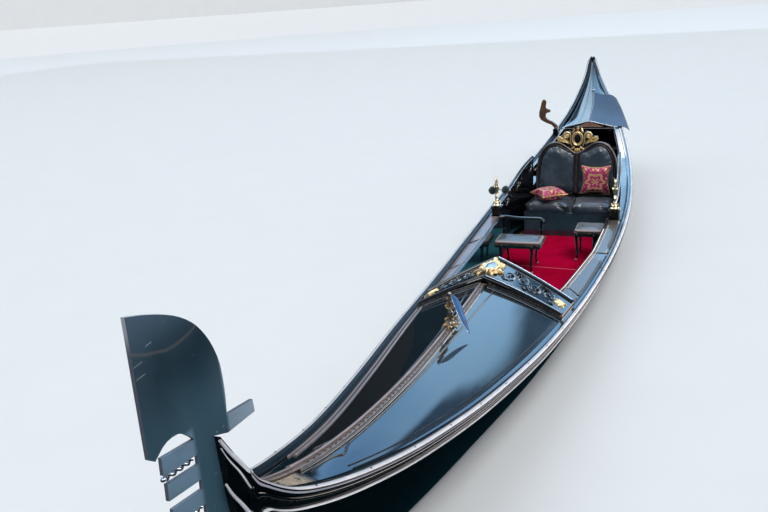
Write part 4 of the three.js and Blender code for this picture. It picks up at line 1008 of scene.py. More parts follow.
def scroll(heap, lay, centre, size, start, turns, hand, thick, tail=(), depth=0.0):
    """A scroll that winds in from a tail, thick at its shoulder, fine at its eye; lay places (a, b, out)."""
    wound = spiral(turns, math.radians(start), size, 0.16, hand, int(14 * turns) + 4)
    line = [*tail, *[(centre[0] + a, centre[1] + b) for a, b in wound]]
    points = curve([lay(a, b, depth) for a, b in line], len(line) * 2)
    last = len(points) - 1
    radii = [thick * (0.35 + 0.65 * min(1, 4 * i / last)) * (1 - 0.45 * i / last) for i in range(last + 1)]
    heap.tube(points, radii, 7)
    heap.turned([(thick * 0.9, -thick), (thick * 1.1, 0), (thick * 0.7, thick * 1.1), (0, thick * 1.5)],
                lay(*centre, depth), 8, raised(lay, *centre))


def leaf(heap, lay, root, tip, width, depth=0.0, lift=0.012, bend=0.0, lobes=3):
    """An acanthus leaf from root to tip, its edge cut in lobes and its middle creased."""
    root, tip = Vector(root), Vector(tip)
    way = tip - root
    across = Vector((-way.y, way.x)).normalized()
    rows = 4 * lobes
    crown_z, under = [], []
    for i in range(rows + 1):
        t = i / rows
        middle = root + way * t + across * (bend * math.sin(t * math.pi))
        lobed = 1 - 0.28 * abs(math.sin(t * lobes * math.pi))
        half = width * math.sin(math.pi * min(1, t * 0.92 + 0.08)) ** 0.7 * lobed
        upright = lift * math.sin(t * math.pi * 0.9)
        for out, high in ((-1, -0.1), (-0.5, 0.9), (0, 0.4), (0.5, 0.9), (1, -0.1)):
            p = middle + across * (half * out)
            crown_z.append(lay(p.x, p.y, depth + upright * high))
            under.append(lay(p.x, p.y, depth - 0.004))
    faces = [(i * 5 + k, i * 5 + k + 1, i * 5 + k + 6, i * 5 + k + 5) for i in range(rows)
             for k in range(4)]
    back = len(crown_z)
    faces += [tuple(back + i for i in f[::-1]) for f in faces[:]]
    rim = [i * 5 for i in range(rows + 1)] + [rows * 5 + k for k in range(1, 5)] \
        + [i * 5 + 4 for i in range(rows - 1, -1, -1)] + [3, 2, 1]
    faces += [(rim[i], back + rim[i], back + rim[(i + 1) % len(rim)], rim[(i + 1) % len(rim)])
              for i in range(len(rim))]
    heap.add(crown_z + under, faces)


def rose(heap, lay, centre, size, depth=0.0):
    """A rose of three rounds of petals."""
    for ring, (count, reach, high) in enumerate(((6, 1.0, 0.35), (5, 0.66, 0.7), (3, 0.34, 0.95))):
        for k in range(count):
            t = 2 * math.pi * k / count + ring * 0.5
            out = Vector((math.cos(t), math.sin(t)))
            root = Vector(centre) + out * size * reach * 0.15
            tip = Vector(centre) + out * size * reach
            leaf(heap, lay, root, tip, size * reach * 0.55, depth + size * 0.32 * high, size * 0.22, 0, 1)


def shell_fan(heap, lay, root, size, start, sweep, count=7, depth=0.0):
    """A scallop shell: ribs that spread from its hinge."""
    for k in range(count):
        t = math.radians(start + sweep * k / (count - 1))
        reach = size * (0.82 + 0.18 * math.sin(math.pi * k / (count - 1)))
        tip = (root[0] + reach * math.cos(t), root[1] + reach * math.sin(t))
        leaf(heap, lay, root, tip, size * math.radians(sweep) / count * 0.62, depth, size * 0.16, 0, 1)


def oval(heap, lay, centre, wide, high, thick, depth=0.0, count=40):
    points = [lay(centre[0] + wide * math.cos(t), centre[1] + high * math.sin(t), depth)
              for t in (2 * math.pi * i / count for i in range(count))]
    heap.tube(points, thick, 8, True)


def dome(heap, lay, centre, wide, high, proud, depth=0.0, count=32):
    """A low oval dome."""
    heap.rings([[lay(centre[0] + wide * k * math.cos(t), centre[1] + high * k * math.sin(t),
                     depth + proud * math.sqrt(max(0, 1 - k * k)))
                 for t in (2 * math.pi * i / count for i in range(count))]
                 for k in (1.0, 0.94, 0.8, 0.55, 0.25, 0.02)])


def rinceau(heap, lay, start, end, count, size, thick, depth=0.0):
    """A running vine of scrolls that turn up and down by turns, with leaves at their forks."""
    pitch = (end - start) / count
    for k in range(count):
        upward = 1 if k % 2 else -1
        a = start + pitch * (k + 0.5)
        scroll(heap, lay, (a, upward * size * 0.12), size, 180, 1.45, -upward, thick,
               [(a - pitch * 0.95, -upward * size * 0.5), (a - pitch * 0.7, -upward * size * 0.72),
                (a - size * 1.05, upward * size * 0.02)],
               depth)
        leaf(heap, lay, (a - pitch * 0.55, -upward * size * 0.2), (a - pitch * 0.1, upward * size * 1.22),
             size * 0.30, depth,
             thick * 1.7, upward * size * 0.2)
        leaf(heap, lay, (a + size * 0.2, -upward * size * 0.75), (a + pitch * 0.62, -upward * size * 1.18),
             size * 0.26, depth,
             thick * 1.5, -upward * size * 0.12)
        leaf(heap, lay, (a + size * 0.1, upward * size * 0.1), (a + size * 0.5, -upward * size * 0.28),
             size * 0.2, depth,
             thick * 1.6)


# Crest on the seat's back: a dark carved ground and gilt work round a plain oval
CREST = BACK @ Matrix.Translation((-0.0303, 0, 0.613))


def on_crest(a, b, out=0.0):
    return CREST @ Vector((out, a, b))


ground_half = [(0, -0.060), (0.040, -0.048), (0.070, -0.008), (0.120, 0.030), (0.190, 0.060),
               (0.225, 0.090),
               (0.215, 0.125), (0.160, 0.140), (0.120, 0.180), (0.080, 0.185), (0.060, 0.165),
               (0.050, 0.205),
               (0.025, 0.235), (0, 0.240)]
half_line = [(p.x, p.y) for p in curve([(*p, 0) for p in ground_half], 50)]
ring_line = half_line + [(-a, b) for a, b in half_line[-2:0:-1]]
CREST_STEPS = ((-0.024, 0.985), (-0.020, 1.0), (-0.006, 1.0), (0.0, 0.975), (0.002, 0.9))
ground = Heap().rings([[on_crest(a * k, b * k + (1 - k) * 0.09, x) for a, b in ring_line]
                       for x, k in CREST_STEPS])
ground.piece("crest_ground", WORN, stands_for=["seat_crest"], slot="gilt", angle=40)
gilt = Heap()
for hand in (1, -1):
    scroll(gilt, on_crest, (hand * 0.118, 0.135), 0.042, 200 if hand > 0 else -20, 1.6, -hand, 0.0125,
           [(hand * 0.060, 0.02), (hand * 0.075, 0.065), (hand * 0.078, 0.10)], 0.012)
    rose(gilt, on_crest, (hand * 0.118, 0.135), 0.024, 0.012)
    scroll(gilt, on_crest, (hand * 0.205, 0.100), 0.020, 180 if hand > 0 else 0, 1.3, hand, 0.0085,
           [(hand * 0.110, 0.055), (hand * 0.150, 0.068), (hand * 0.180, 0.080)], 0.010)
    leaf(gilt, on_crest, (hand * 0.085, 0.045), (hand * 0.165, 0.125), 0.022, 0.006, 0.018, hand * -0.008)
    leaf(gilt, on_crest, (hand * 0.120, 0.060), (hand * 0.218, 0.068), 0.018, 0.008, 0.016, hand * 0.010)
    leaf(gilt, on_crest, (hand * 0.150, 0.095), (hand * 0.222, 0.128), 0.016, 0.006, 0.016)
    leaf(gilt, on_crest, (hand * 0.030, 0.015), (hand * 0.072, -0.022), 0.014, 0.006, 0.014)
    leaf(gilt, on_crest, (hand * 0.018, -0.005), (hand * 0.030, -0.055), 0.013, 0.006, 0.014)
    leaf(gilt, on_crest, (hand * 0.058, 0.165), (hand * 0.040, 0.222), 0.014, 0.004, 0.014, hand * 0.006)
leaf(gilt, on_crest, (0, 0.185), (0, 0.238), 0.020, 0.006, 0.018, 0, 2)
leaf(gilt, on_crest, (0, -0.005), (0, -0.062), 0.015, 0.008, 0.018, 0, 2)
oval(gilt, on_crest, (0, 0.100), 0.056, 0.072, 0.009, 0.012)
oval(gilt, on_crest, (0, 0.100), 0.040, 0.055, 0.004, 0.014)
gilt.piece("crest_gilding", GILT, slot="gilt", angle=45)
glass = Heap()
dome(glass, on_crest, (0, 0.100), 0.050, 0.066, 0.012, 0.004)
glass.piece("crest_cabochon", GLOSS, slot="gilt", angle=60)


# V-board: a lacquered board with its edge mouldings, vines in relief, and a gilt cartouche at its point
PALE_GILT = gilding("pale_gilding", (0.95, 0.72, 0.40), (0.62, 0.38, 0.17), 0.35)


def half_width(side):
    return inner(at((BOARD_EDGE + AFT_EDGE) / 2), side)


def on_board(side):
    """Carving coordinates on an arm of the V-board: a out from its middle, b towards its after edge."""
    def lay(a, b, out=0.0):
        s = a / half_width(side)
        p = board(side, s, 0.5 + b / 0.25)
        u = board(side, s + 0.01, 0.5) - board(side, s - 0.01, 0.5)
        w = board(side, s, 0.52) - board(side, s, 0.48)
        n = u.cross(w).normalized()
        return p + (n if n.z > 0 else -n) * out
    return lay


for side, full in FULL.items():
    rings = []
    for s in np.linspace(0.0006, 0.998, 40):
        low = -(0.050 - 0.022 * s) + GAP
        ring = [board(side, s, 0, low)] + [board(side, s, w, lift) for w, lift in (
            (0, -0.006), (0.012, -0.001), (0.04, 0), (0.2, 0), (0.4, 0), (0.6, 0), (0.8, 0), (0.96, 0),
            (0.988, -0.001),
            (1, -0.006))] + [board(side, s, 1, low)]
        rings.append(ring)
    Heap().rings(rings).piece(f"v_board_{full}_face", DECK, stands_for=[f"v_board_{full}"], angle=45)
    for w, wide, high, paint, label in ((0.955, 0.030, 0.016, GLOSS, "after"),
                                        (0.045, 0.022, 0.013, GLOSS, "fore"),
                                        (0.115, 0.007, 0.005, GLOSS, "inner")):
        trim = Heap()
        ss = np.linspace(0.012, 0.99, 60)
        trim.sweep([board(side, s, w) for s in ss], [deck_up(side, 1.8, s) for s in ss],
                   half_round(wide, high, 9))
        trim.piece(f"board_{label}_edge_{full}", paint, angle=60)
    # On the port arm only, silvered lines along the after and fore edges stand in for the highlights the
    # lacquered mouldings catch there: painted highlights
    if side == "port":
        port_highlight_line = Heap()
        for w, k in ((0.968, 0.0046), (0.030, 0.0034)):
            port_highlight_line.tube([board(side, s, w, 0.0145 if w > 0.5 else 0.011)
                              for s in np.linspace(0.03, 0.99, 40)], k, 8)
        port_highlight_line.piece("board_highlight_lines", SILVER, slot="steel", angle=60)
    vine = Heap()
    lay = on_board(side)
    how_many, extent = (4, 0.060) if side == "port" else (5, 0.052)
    rinceau(vine, lay, 0.11, half_width(side) - 0.10, how_many, extent, 0.0075, 0.001)
    vine.piece(f"board_vine_{full}", INKED, angle=40)
    fan = Heap()
    end_a = half_width(side) - 0.055
    shell_fan(fan, lay, (end_a + 0.012, 0.0), 0.062, 110, 140, 7, 0.001)
    leaf(fan, lay, (end_a + 0.010, 0.006), (end_a + 0.034, 0.036), 0.012, 0.001, 0.010)
    leaf(fan, lay, (end_a + 0.010, -0.006), (end_a + 0.034, -0.036), 0.012, 0.001, 0.010)
    fan.piece(f"board_shell_{full}", PALE_GILT, slot="gilt", angle=45)


def on_point(a, b, out=0.0):
    """Carving coordinates over the V-board's point: a to port, b towards its after edge."""
    side = "port" if a >= 0 else "star"
    p = board(side, abs(a) / half_width(side), 0.52 + b / 0.36)
    return p + Vector((0, 0, 0.004 * (1 - min(1, abs(a) / 0.02)) * -1 + out))


ornament = Heap()
for k in range(14):
    t = 2 * math.pi * (k + 0.5) / 14
    reach = 0.098 + 0.026 * (k % 2)
    leaf(ornament, on_point, (0.050 * math.cos(t), 0.066 * math.sin(t)),
         (reach * math.cos(t), reach * 1.28 * math.sin(t)), 0.026, 0.006, 0.020, 0.004 * (-1) ** k, 2)
oval(ornament, on_point, (0, 0), 0.056, 0.074, 0.0085, 0.014)
oval(ornament, on_point, (0, 0), 0.042, 0.058, 0.004, 0.018)
for hand in (1, -1):
    scroll(ornament, on_point, (hand * 0.062, 0.080), 0.020, 90, 1.2, hand, 0.006, [(hand * 0.020, 0.084)],
           0.012)
    scroll(ornament, on_point, (hand * 0.062, -0.084), 0.018, -90, 1.2, -hand, 0.006,
           [(hand * 0.020, -0.086)], 0.012)
ornament.piece("board_cartouche", PALE_GILT, slot="gilt", angle=45)
blue_grey = metal("cartouche_oval", (0.30, 0.38, 0.48), (0.16, 0.22, 0.30), 0.3, (3, 3, 3), 0.3)
centre_piece = Heap()
dome(centre_piece, on_point, (0, 0), 0.052, 0.070, 0.016, 0.008)
for hand in (1, -1):
    leaf(centre_piece, on_point, (0, -0.030), (hand * 0.026, 0.030), 0.014, 0.020, 0.010)
centre_piece.piece("cartouche_oval", blue_grey, slot="gilt", angle=60)

# Ridge: a bead, a groove, a carved strip and a fine bead
ridge_xs = columns(BOARD_RIDGE + 0.024, FORE_X, 0.03)


def ridge_point(x, y=0.0, lift=0.0):
    return Vector((x, y, edge_z(x) + rise(x) + lift))


spine = Heap()
section = [(-0.03, -0.018), (-0.03, 0.002), (-0.0285, 0.0035), (-0.010, 0.0035), (-0.0085, 0.006),
           (0.0155, 0.006),
           (0.017, 0.0035), (0.0285, 0.0035), (0.03, 0.002), (0.03, -0.018)]
spine.rings([[ridge_point(x, y, z) for y, z in section] for x in ridge_xs])
spine.piece("ridge_base", GLOSS, stands_for=["foredeck_ridge"], slot="gilt", angle=40)
ridge_up = Vector((0, 0, 1))
ridge_highlight_bead, fine_bead, carved = Heap(), Heap(), Heap()
# The starboard bead is pale paint: a painted highlight along the ridge
ridge_highlight_bead.sweep([ridge_point(x, -0.0195, 0.003) for x in ridge_xs], ridge_up, half_round(0.017, 0.012, 9))
ridge_highlight_bead.sweep([ridge_point(x, -0.0195, 0.002) for x in columns(4.56, 4.93, 0.02)], ridge_up,
                 half_round(0.013, 0.009, 9))
ridge_highlight_bead.piece("ridge_bead", HIGHLIGHT_BEAD, angle=60)
fine_bead.sweep([ridge_point(x, 0.0228, 0.003) for x in ridge_xs], ridge_up, half_round(0.009, 0.006, 7))
fine_bead.piece("ridge_fine_bead", WORN, angle=60)
carved.sweep([ridge_point(x, 0.0035, 0.0055) for x in ridge_xs], ridge_up, half_round(0.024, 0.004, 7))
for i, x in enumerate(np.arange(1.76, 4.5, 0.048)):
    for hand in (1, -1):
        def lay(a, b, out=0.0, x=x):
            return ridge_point(x + b, 0.0035 + a, 0.0075 + out)
        leaf(carved, lay, (0, -0.014), (hand * 0.010, 0.022), 0.0052, 0.0, 0.0065, hand * 0.002, 1)
carved.sweep([ridge_point(x, 0.006, 0.002) for x in columns(4.56, 4.93, 0.02)], ridge_up,
             half_round(0.016, 0.008, 9))
carved.piece("ridge_carving", RIDGE_BROWN, slot="gilt", angle=40)

# Bow cap, with the pale rubbed patch where gear is set down
cap_paint = Paint("bow_cap_lacquer", Coat_Weight=1.0, Coat_Roughness=0.05, Coat_IOR=1.5, IOR=1.35)
patch = (cap_paint.x.step(4.60, 4.66) * cap_paint.x.step(4.86, 4.78) * cap_paint.y.step(0.006, 0.02)
         * cap_paint.noise(30, 5, 0.7).step(0.36, 0.5))
grains = cap_paint.noise(190, 4, 0.8)
cap_colour = cap_paint.mix(patch * grains.step(0.3, 0.6), (0.007, 0.008, 0.011), (0.46, 0.36, 0.25))
cap_paint.bump(patch * grains, 0.0015, 0.6)
cap_paint.finish(Base_Color=cap_colour, Roughness=0.3 + patch * 0.4, Coat_Weight=1.0 - patch * 0.8)
cap_rings = []
for x in columns(FORE_X + GAP, 4.974, 0.02):
    c = at(x)
    z, w = edge_z(x), DECK_THICK
    yp, ys = inner(c, "port"), -inner(c, "star")
    cap_rings.append([Vector((x, ys + (yp - ys) * k, z + rise(x) * (1 - abs(2 * k - 1) ** 1.4)))
                      for k in np.linspace(0, 1, 13)]
                     + [Vector((x, yp, z - w)), Vector((x, ys, z - w))])
Heap().rings(cap_rings).piece("bow_cap_face", cap_paint.material, stands_for=["bow_cap"], angle=50)

# Cockpit edge and side decks
INSIDE = {"port": [(1.7, 0.430), (1.31, 0.505), (0.38, 0.620), (-0.6, 0.660)],
          "star": [(1.7, 0.345), (1.12, 0.355), (0.13, 0.362), (-0.6, 0.372)]}
WING = {"port": [(-0.7, 0.690, 0.430), (-1.0, 0.700, 0.480), (-1.3, 0.700, 0.600), (-1.5, 0.690, 0.700),
                 (-1.73, 0.672, 0.790)],
        "star": [(-0.7, 0.442, 0.430), (-1.0, 0.420, 0.470), (-1.3, 0.370, 0.575), (-1.5, 0.320, 0.665),
                 (-1.70, 0.246, 0.750)]}
POST_Y = {"port": (0.676, 0.768), "star": (0.390, 0.482)}
COAMING = 0.014


def along(line, x, k=1):
    xs = [-p[0] for p in line]
    return float(np.interp(-x, xs, [p[k] for p in line]))


def deck_z(x):
    return at(x)[RAIL_Z] - DECK_DROP


def well_half(side, x):
    return inner(at(x), side) - 0.062 - 0.040 * math.sqrt(min(max(1 - (-2.08 - x) / 0.26, 0), 1))


def deck_inside(side, x):
    """The inner edge of the side deck, from the cockpit past the seat to the after well."""
    if x >= -0.6:
        return along(INSIDE[side], x) + COAMING + GAP
    if x >= -0.722:
        return POST_Y[side][1] + 0.002
    if x >= WING[side][-1][0] - 0.008:
        return along(WING[side], x) + 0.032
    if x >= -1.886:
        return 0.450 + SIGN[side] * SEAT_MID + 0.014
    if x >= -2.08:
        return 0.0002
    return well_half(side, x) + 0.0163


def v_line(side, y):
    return AFT_RIDGE + (AFT_EDGE - AFT_RIDGE) * y / inner(at(AFT_EDGE), side)


RECESS = 0.006
for side, full in FULL.items():
    s = SIGN[side]
    xs = columns(-3.68, 1.53, 0.03)
    marks = (-0.6, -0.722, WING[side][-1][0] - 0.008, -1.886, -2.08)
    xs = sorted(set([x for x in xs if all(abs(x - m) > 0.006 for m in marks)]
                    + [m + d for m in marks for d in (0.0005, -0.0005)]),
                reverse=True)
    rings = []
    y_in = deck_inside(side, 1.5)
    for x_out, x_in in [(AFT_EDGE - 0.002, v_line(side, y_in)
                         - 0.002)] + [(x, x) for x in xs if x < v_line(side, y_in) - 0.03]:
        recess = RECESS if x_in > -0.6 else 0
        y0 = min(deck_inside(side, x_in), inner(at(x_out), side) - 0.005)
        a = Vector((x_in, s * y0, deck_z(x_in) - recess))
        b = Vector((x_out, s * inner(at(x_out), side), deck_z(x_out) - recess))
        drop = Vector((0, 0, recess - DECK_THICK))
        rings.append([a, b, b + drop, a + drop])
    Heap().rings(rings).piece(f"side_deck_{full}_boards", GLOSS, stands_for=[f"side_deck_{full}"], angle=35)
    # Coaming: the board itself, with a rounded bead along its top
    rings = []
    for x in columns(-0.599, v_line(side, along(INSIDE[side], 1.54)) - 0.01, 0.04):
        y, z = along(INSIDE[side], x), at(x)[RAIL_Z] - DECK_DROP + 0.006
        rings.append([Vector((x, s * yy, zz)) for yy,
                      zz in ((y, -0.0597), (y, z - 0.004), (y - 0.003, z - 0.002),
                     (y - 0.003, z + 0.003), (y + 0.003, z + 0.007), (y + 0.010, z + 0.008),
                     (y + 0.015, z + 0.004),
                     (y + COAMING, z - 0.004), (y + COAMING, -0.0597))])
    Heap().rings(rings).piece(f"coaming_{full}_board", GLOSS, stands_for=[f"coaming_{full}"], angle=40)


def lid(name, side, corners, paint, thick=RECESS, easing=0.003):
    """A loose board of the side deck from its corners' x and share of the deck's width, set in the recess."""
    line = []
    for i, (x, k) in enumerate(corners):
        x2, k2 = corners[(i + 1) % len(corners)]
        line += [(x + (x2 - x) * t, k + (k2 - k) * t) for t in np.linspace(0, 1, 7)[:-1]]

    def place(x, k, z, drawn=0.0):
        y0, y1 = deck_inside(side, x) + 0.004 + drawn, inner(at(x), side) - 0.002 - drawn
        return Vector((x, SIGN[side] * (y0 + (y1 - y0) * k), deck_z(x) - RECESS + z))
    mid_x = sum(x for x, _ in line) / len(line)

    def ring(z, drawn):
        return [place(x + (mid_x - x) / abs(mid_x - x + 1e-9) * drawn, k, z, drawn) for x, k in line]
    Heap().rings([ring(0.0003, 0), ring(thick - easing, 0), ring(thick - easing * 0.3, easing * 0.3),
                  ring(thick, easing),
                  ring(thick + 0.0001, 0.03)]).piece(name, paint, angle=40)


lid("lid_port_first", "port", [(1.40, 0), (1.62, 1), (1.50, 1), (1.275, 0)], DUSTY)
lid("lid_port_long", "port", [(1.245, 0), (1.445, 1), (0.56, 1), (0.41, 0)], DUSTY)
lid("lid_port_aft", "port", [(0.37, 0), (0.375, 1), (-0.59, 1), (-0.59, 0)], DUSTY)
lid("lid_star_first", "star", [(1.36, 0), (1.60, 1), (1.02, 1), (0.83, 0)], SIDE_SATIN)
lid("lid_star_second", "star", [(0.80, 0), (0.985, 1), (0.30, 1), (0.11, 0)], SIDE_SATIN)
lid("lid_star_third", "star", [(0.07, 0), (0.255, 1), (-0.59, 1), (-0.59, 0)], SIDE_SATIN)
for side, full in FULL.items():
    s = SIGN[side]
    edge = Heap()
    points = [Vector((x, s * (deck_inside(side, x) + 0.020), deck_z(x) - 0.001))
              for x in columns(-0.58, 1.30, 0.05)]
    edge.sweep(points, Vector((0, 0, 1)), half_round(0.010, 0.006))
    edge.piece(f"deck_inner_bead_{full}", GLOSS if side == "port" else WORN, angle=60)
slot_line = Heap()
slot_points = [Vector((x, y, deck_z(x) + 0.0002)) for x, y in ((1.21, 0.697), (1.0, 0.722), (0.80, 0.744))]
slot_line.sweep(slot_points, Vector((0, 0, 1)),
                [(0.0025, -0.001), (0.0025, 0.0006), (-0.0025, 0.0006), (-0.0025, -0.001)])
slot_line.piece("lid_slot", INKED, angle=30)
latch = Heap()
latch_matrix = Matrix.Translation((0.775, 0.742, deck_z(0.775))) @ Matrix.Rotation(math.radians(-6), 4, "Z")
latch.slab([(-0.024, -0.012), (0.020, -0.012), (0.028, 0), (0.020, 0.012), (-0.024, 0.012)], latch_matrix,
           0.008, 0.002)
latch.turned([(0.007, 0.007), (0.007, 0.012), (0.004, 0.015), (0, 0.015)],
             latch_matrix @ Vector((0.006, 0, 0)), 10)
latch.piece("lid_latch", WORN, angle=40)


# Stem iron: a forged plate, dull on the blade and bright on the teeth, with twisted silver between them
iron = Paint("stem_iron", Specular_IOR_Level=0.35)
# The blade's lighter bands at its top, towards its front and low down are painted reflection of the sky; the
# brighter teeth and tail are barer metal
upper = iron.z.step(1.60, 1.76)
blade = iron.z.step(1.36, 1.44) * iron.x.step(4.93, 4.955)
teeth = iron.z.step(1.36, 1.34) * iron.x.step(5.115, 5.14)
tail = iron.x.step(4.965, 4.945) * iron.z.step(1.20, 1.22)
low_share = iron.z.step(1.58, 1.34)
tone = iron.mix(upper, (0.016, 0.042, 0.063), (0.076, 0.126, 0.184))
tone = iron.mix(iron.x.step(5.20, 5.30) * 0.35, tone, (0.085, 0.135, 0.180))
tone = iron.mix(low_share, tone, (0.056, 0.125, 0.170))
tone = iron.mix(teeth, tone, (0.190, 0.300, 0.400))
tone = iron.mix(tail, tone, (0.34, 0.45, 0.55))
cloudy = iron.noise(9, 4, 0.55).step(0.35, 0.7)
tone = iron.mix(cloudy * 0.14, tone, (0.10, 0.15, 0.20))
arc = iron.z - (iron.x - 5.13) * (iron.x - 5.13) * 1.48 - 1.620
stain = abs(arc + iron.noise(9, 2) * 0.02 - 0.010).step(0.008, 0.001) * blade
tone = iron.mix(stain * 0.30, tone, (0.26, 0.20, 0.17))
scored = 0
for score_z, from_x, to_x in ((1.636, 5.270, 5.313), (1.669, 5.224, 5.257), (1.600, 5.267, 5.311)):
    scored = abs(iron.z - score_z + iron.x * 0.04 - 0.21 + iron.noise(30, 2) * 0.006).step(0.0022,
                                                                                           0.0006) * \
        iron.x.step(from_x, from_x + 0.008) * iron.x.step(to_x, to_x - 0.008) + scored
tone = iron.mix(scored * 0.7, tone, (0.36, 0.42, 0.48))
spots = iron.cells(36).step(0.16, 0.08) * iron.noise(10, 2).step(0.5, 0.6)
tone = iron.mix(spots * 0.22, tone, (0.28, 0.34, 0.38))
iron.bump(iron.noise(190, 3, 0.6, at=iron.stretched(1, 1, 0.25)), 0.0004, 0.12)
iron.bump(iron.noise(7, 3, 0.5), 0.004, 0.12)
FORGED = iron.finish(Base_Color=tone, Metallic=0.35 + cloudy * 0.05, Roughness=0.36 + cloudy * 0.08)
edge = Paint("stem_iron_rim", Metallic=0.3, Roughness=0.42)
bare = edge.mix(edge.noise(24, 4, 0.6), (0.50, 0.50, 0.52), (0.30, 0.31, 0.33))
IRON_RIM = edge.finish(Base_Color=edge.mix(edge.z.step(1.66, 1.74), (0.105, 0.115, 0.145), bare))
dressed("ferro", FORGED, "steel", 0.0022, 40, "stem_iron", IRON_RIM)
twists = Heap()
for tip, root in (((5.294, 1.2795), (5.143, 1.2585)), ((5.282, 1.1115), (5.139, 1.0935)),
                  ((5.268, 0.9435), (5.130, 0.9265))):
    tip, root = Vector((tip[0], 0, tip[1])), Vector((root[0], 0, root[1]))
    way = tip - root
    out, upward = Vector((0, 1, 0)), Vector((-way.z, 0, way.x)).normalized()
    for turn in (0, math.pi):
        strand = [root + way * t + (out * math.cos(t * 15 + turn) + upward * math.sin(t * 15 + turn))
                  * 0.0052
                  for t in np.linspace(0.02, 0.84, 34)]
        twists.tube(strand, 0.0050, 7)
    twists.turned([(0.001, -0.007), (0.005, -0.005), (0.0068, 0), (0.005, 0.005), (0.001, 0.007)],
                  tip - way * 0.14, 14,
                  way.normalized())
twists.piece("stem_iron_twists", STEEL, slot="steel", angle=60)
rivets = Heap()
for x, z in ((4.985, 1.27), (5.02, 1.27), (5.055, 1.15), (5.07, 1.0), (5.06, 0.85)):
    for out in (0.006, -0.006):
        rivets.turned([(0.006, -0.001), (0.006, 0.001), (0.004, 0.0025), (0.0005, 0.003)],
                      Vector((x, out, z)), 12,
                      Vector((0, math.copysign(1, out), 0)))
rivets.piece("stem_iron_rivets", FORGED, slot="steel")

# Flag stand: a turned silver stem in a gilt leaf foot, with scrolls for the flag
CENTRE_X = 2.56
stand_foot = Vector((CENTRE_X, 0, edge_z(CENTRE_X) + rise(CENTRE_X) + 0.016))


def on_stand(turn, high):
    """Carving coordinates round the stand: a outward and b up, at a turn about the stem."""
    out, far_end = Vector((math.cos(turn), math.sin(turn), 0)), Vector((0, 0, 1))
    side = far_end.cross(out)

    def lay(a, b, proud=0.0):
        return stand_foot + out * a + far_end * (high + b) + side * proud
    return lay


STAND_SILVER = metal("stand_silver", (0.48, 0.44, 0.38), (0.20, 0.17, 0.14), 0.24)
stem = Heap()
stem.turned([(0.030, -0.004), (0.031, 0.002), (0.026, 0.007), (0.018, 0.010), (0.016, 0.016),
             (0.022, 0.022),
             (0.014, 0.030), (0.0085, 0.040), (0.0075, 0.055), (0.011, 0.064), (0.017, 0.074),
             (0.019, 0.086),
             (0.015, 0.098), (0.0085, 0.106), (0.0075, 0.112), (0.013, 0.116), (0.013, 0.121),
             (0.0075, 0.125),
             (0.0065, 0.150), (0.0095, 0.160), (0.0095, 0.166), (0.006, 0.172), (0.0055, 0.190),
             (0.011, 0.198),
             (0.0145, 0.208), (0.011, 0.218), (0.004, 0.223), (0.0005, 0.224)], stand_foot, 24,
            wobble=lambda t, h: 1 + (0.05 * math.cos(8 * t) if 0.06 < h < 0.1 else 0))
stem.piece("stand_stem", STAND_SILVER, slot="brass", angle=50)
curls = Heap()
for k in range(6):
    lay = on_stand(2 * math.pi * k / 6, 0.0)
    leaf(curls, lambda a, b, proud=0.0, lay=lay: lay(0.016 + b, 0.012 - b * b * 9 + proud, a), (0, 0),
         (0, 0.042),
         0.013, 0.002, 0.008, 0.0, 2)
for k in range(4):
    turn = math.pi / 4 + math.pi / 2 * k
    lay = on_stand(turn, 0.036)
    scroll(curls, lay, (0.030, 0.010), 0.013, 200, 1.2, -1, 0.0040, [(0.006, -0.010), (0.018, -0.014)])
    lay = on_stand(turn, 0.118)
    scroll(curls, lay, (0.024, 0.018), 0.011, 250, 1.2, 1, 0.0034, [(0.006, -0.006), (0.016, -0.010)])
    leaf(curls, lay, (0.008, 0.010), (0.020, 0.044), 0.008, 0.0, 0.004)
    lay = on_stand(turn, 0.176)
    scroll(curls, lay, (0.018, 0.004), 0.009, 230, 1.1, -1, 0.0028, [(0.004, -0.010), (0.012, -0.012)])
ring_at = stand_foot + Vector((0, 0, 0.118))
curls.tube([ring_at + Vector((0.020 * math.cos(t), 0.020 * math.sin(t), 0))
            for t in (2 * math.pi * k / 28 for k in range(28))], 0.0026, 7, True)
curls.piece("stand_leaves", gilding("stand_gilding", (0.62, 0.44, 0.22), (0.22, 0.14, 0.08), 0.4),
            stands_for=["flag_stand"],
            slot="gilt", angle=50)

# Pennant: silk that hangs from the stand in soft folds to a point
silk = Paint("pennant_silk", Sheen_Weight=0.3, Specular_IOR_Level=0.6, Coat_Weight=0.25, Coat_Roughness=0.3)
weave = (silk.x * 2600).sine() * (silk.z * 2600).sine() * 0.5 + 0.5
shade = silk.noise(20, 3, 0.5).step(0.3, 0.7)
silk_colour = silk.mix(shade, (0.006, 0.085, 0.27), (0.010, 0.13, 0.36))
silk.bump(weave, 0.0003, 0.3)
silk.finish(Base_Color=silk_colour, Roughness=0.5 + weave * 0.1)
top_z = edge_z(CENTRE_X) + rise(CENTRE_X) + 0.232
hang = curve([(2.564, 0.0172, top_z - 0.006), (2.577, 0.045, top_z - 0.042), (2.600, 0.073, top_z - 0.092),
              (2.630, 0.109, top_z - 0.154), (2.658, 0.148, top_z - 0.214)], 30)
across, cloth_out = Vector((-0.284, 0.959, 0)), Vector((0.959, 0.284, 0))
front, flat_area = [], 0.0
for i, mid in enumerate(hang):
    t = i / 29
    half = float(np.interp(t, (0, 0.16, 0.40, 0.70, 0.93, 1),
                           (0.0065, 0.0185, 0.0230, 0.0165, 0.0065, 0.0012)))
    row = []
    for k in np.linspace(-1, 1, 9):
        fold = 0.0022 * math.sin(k * 4.2 + t * 2.2) * (0.35 + 0.65 * t) * min(1, half / 0.01)
        row.append(mid + across * (half * k) + cloth_out * fold)
    front.append(row)
ring_rows = [row + [p - cloth_out * 0.0011 for p in row[::-1]] for row in front]
pennant = Heap().rings(ring_rows).piece("pennant_silk", silk.material, stands_for=["pennant"],
                                        slot="cloth", angle=60)
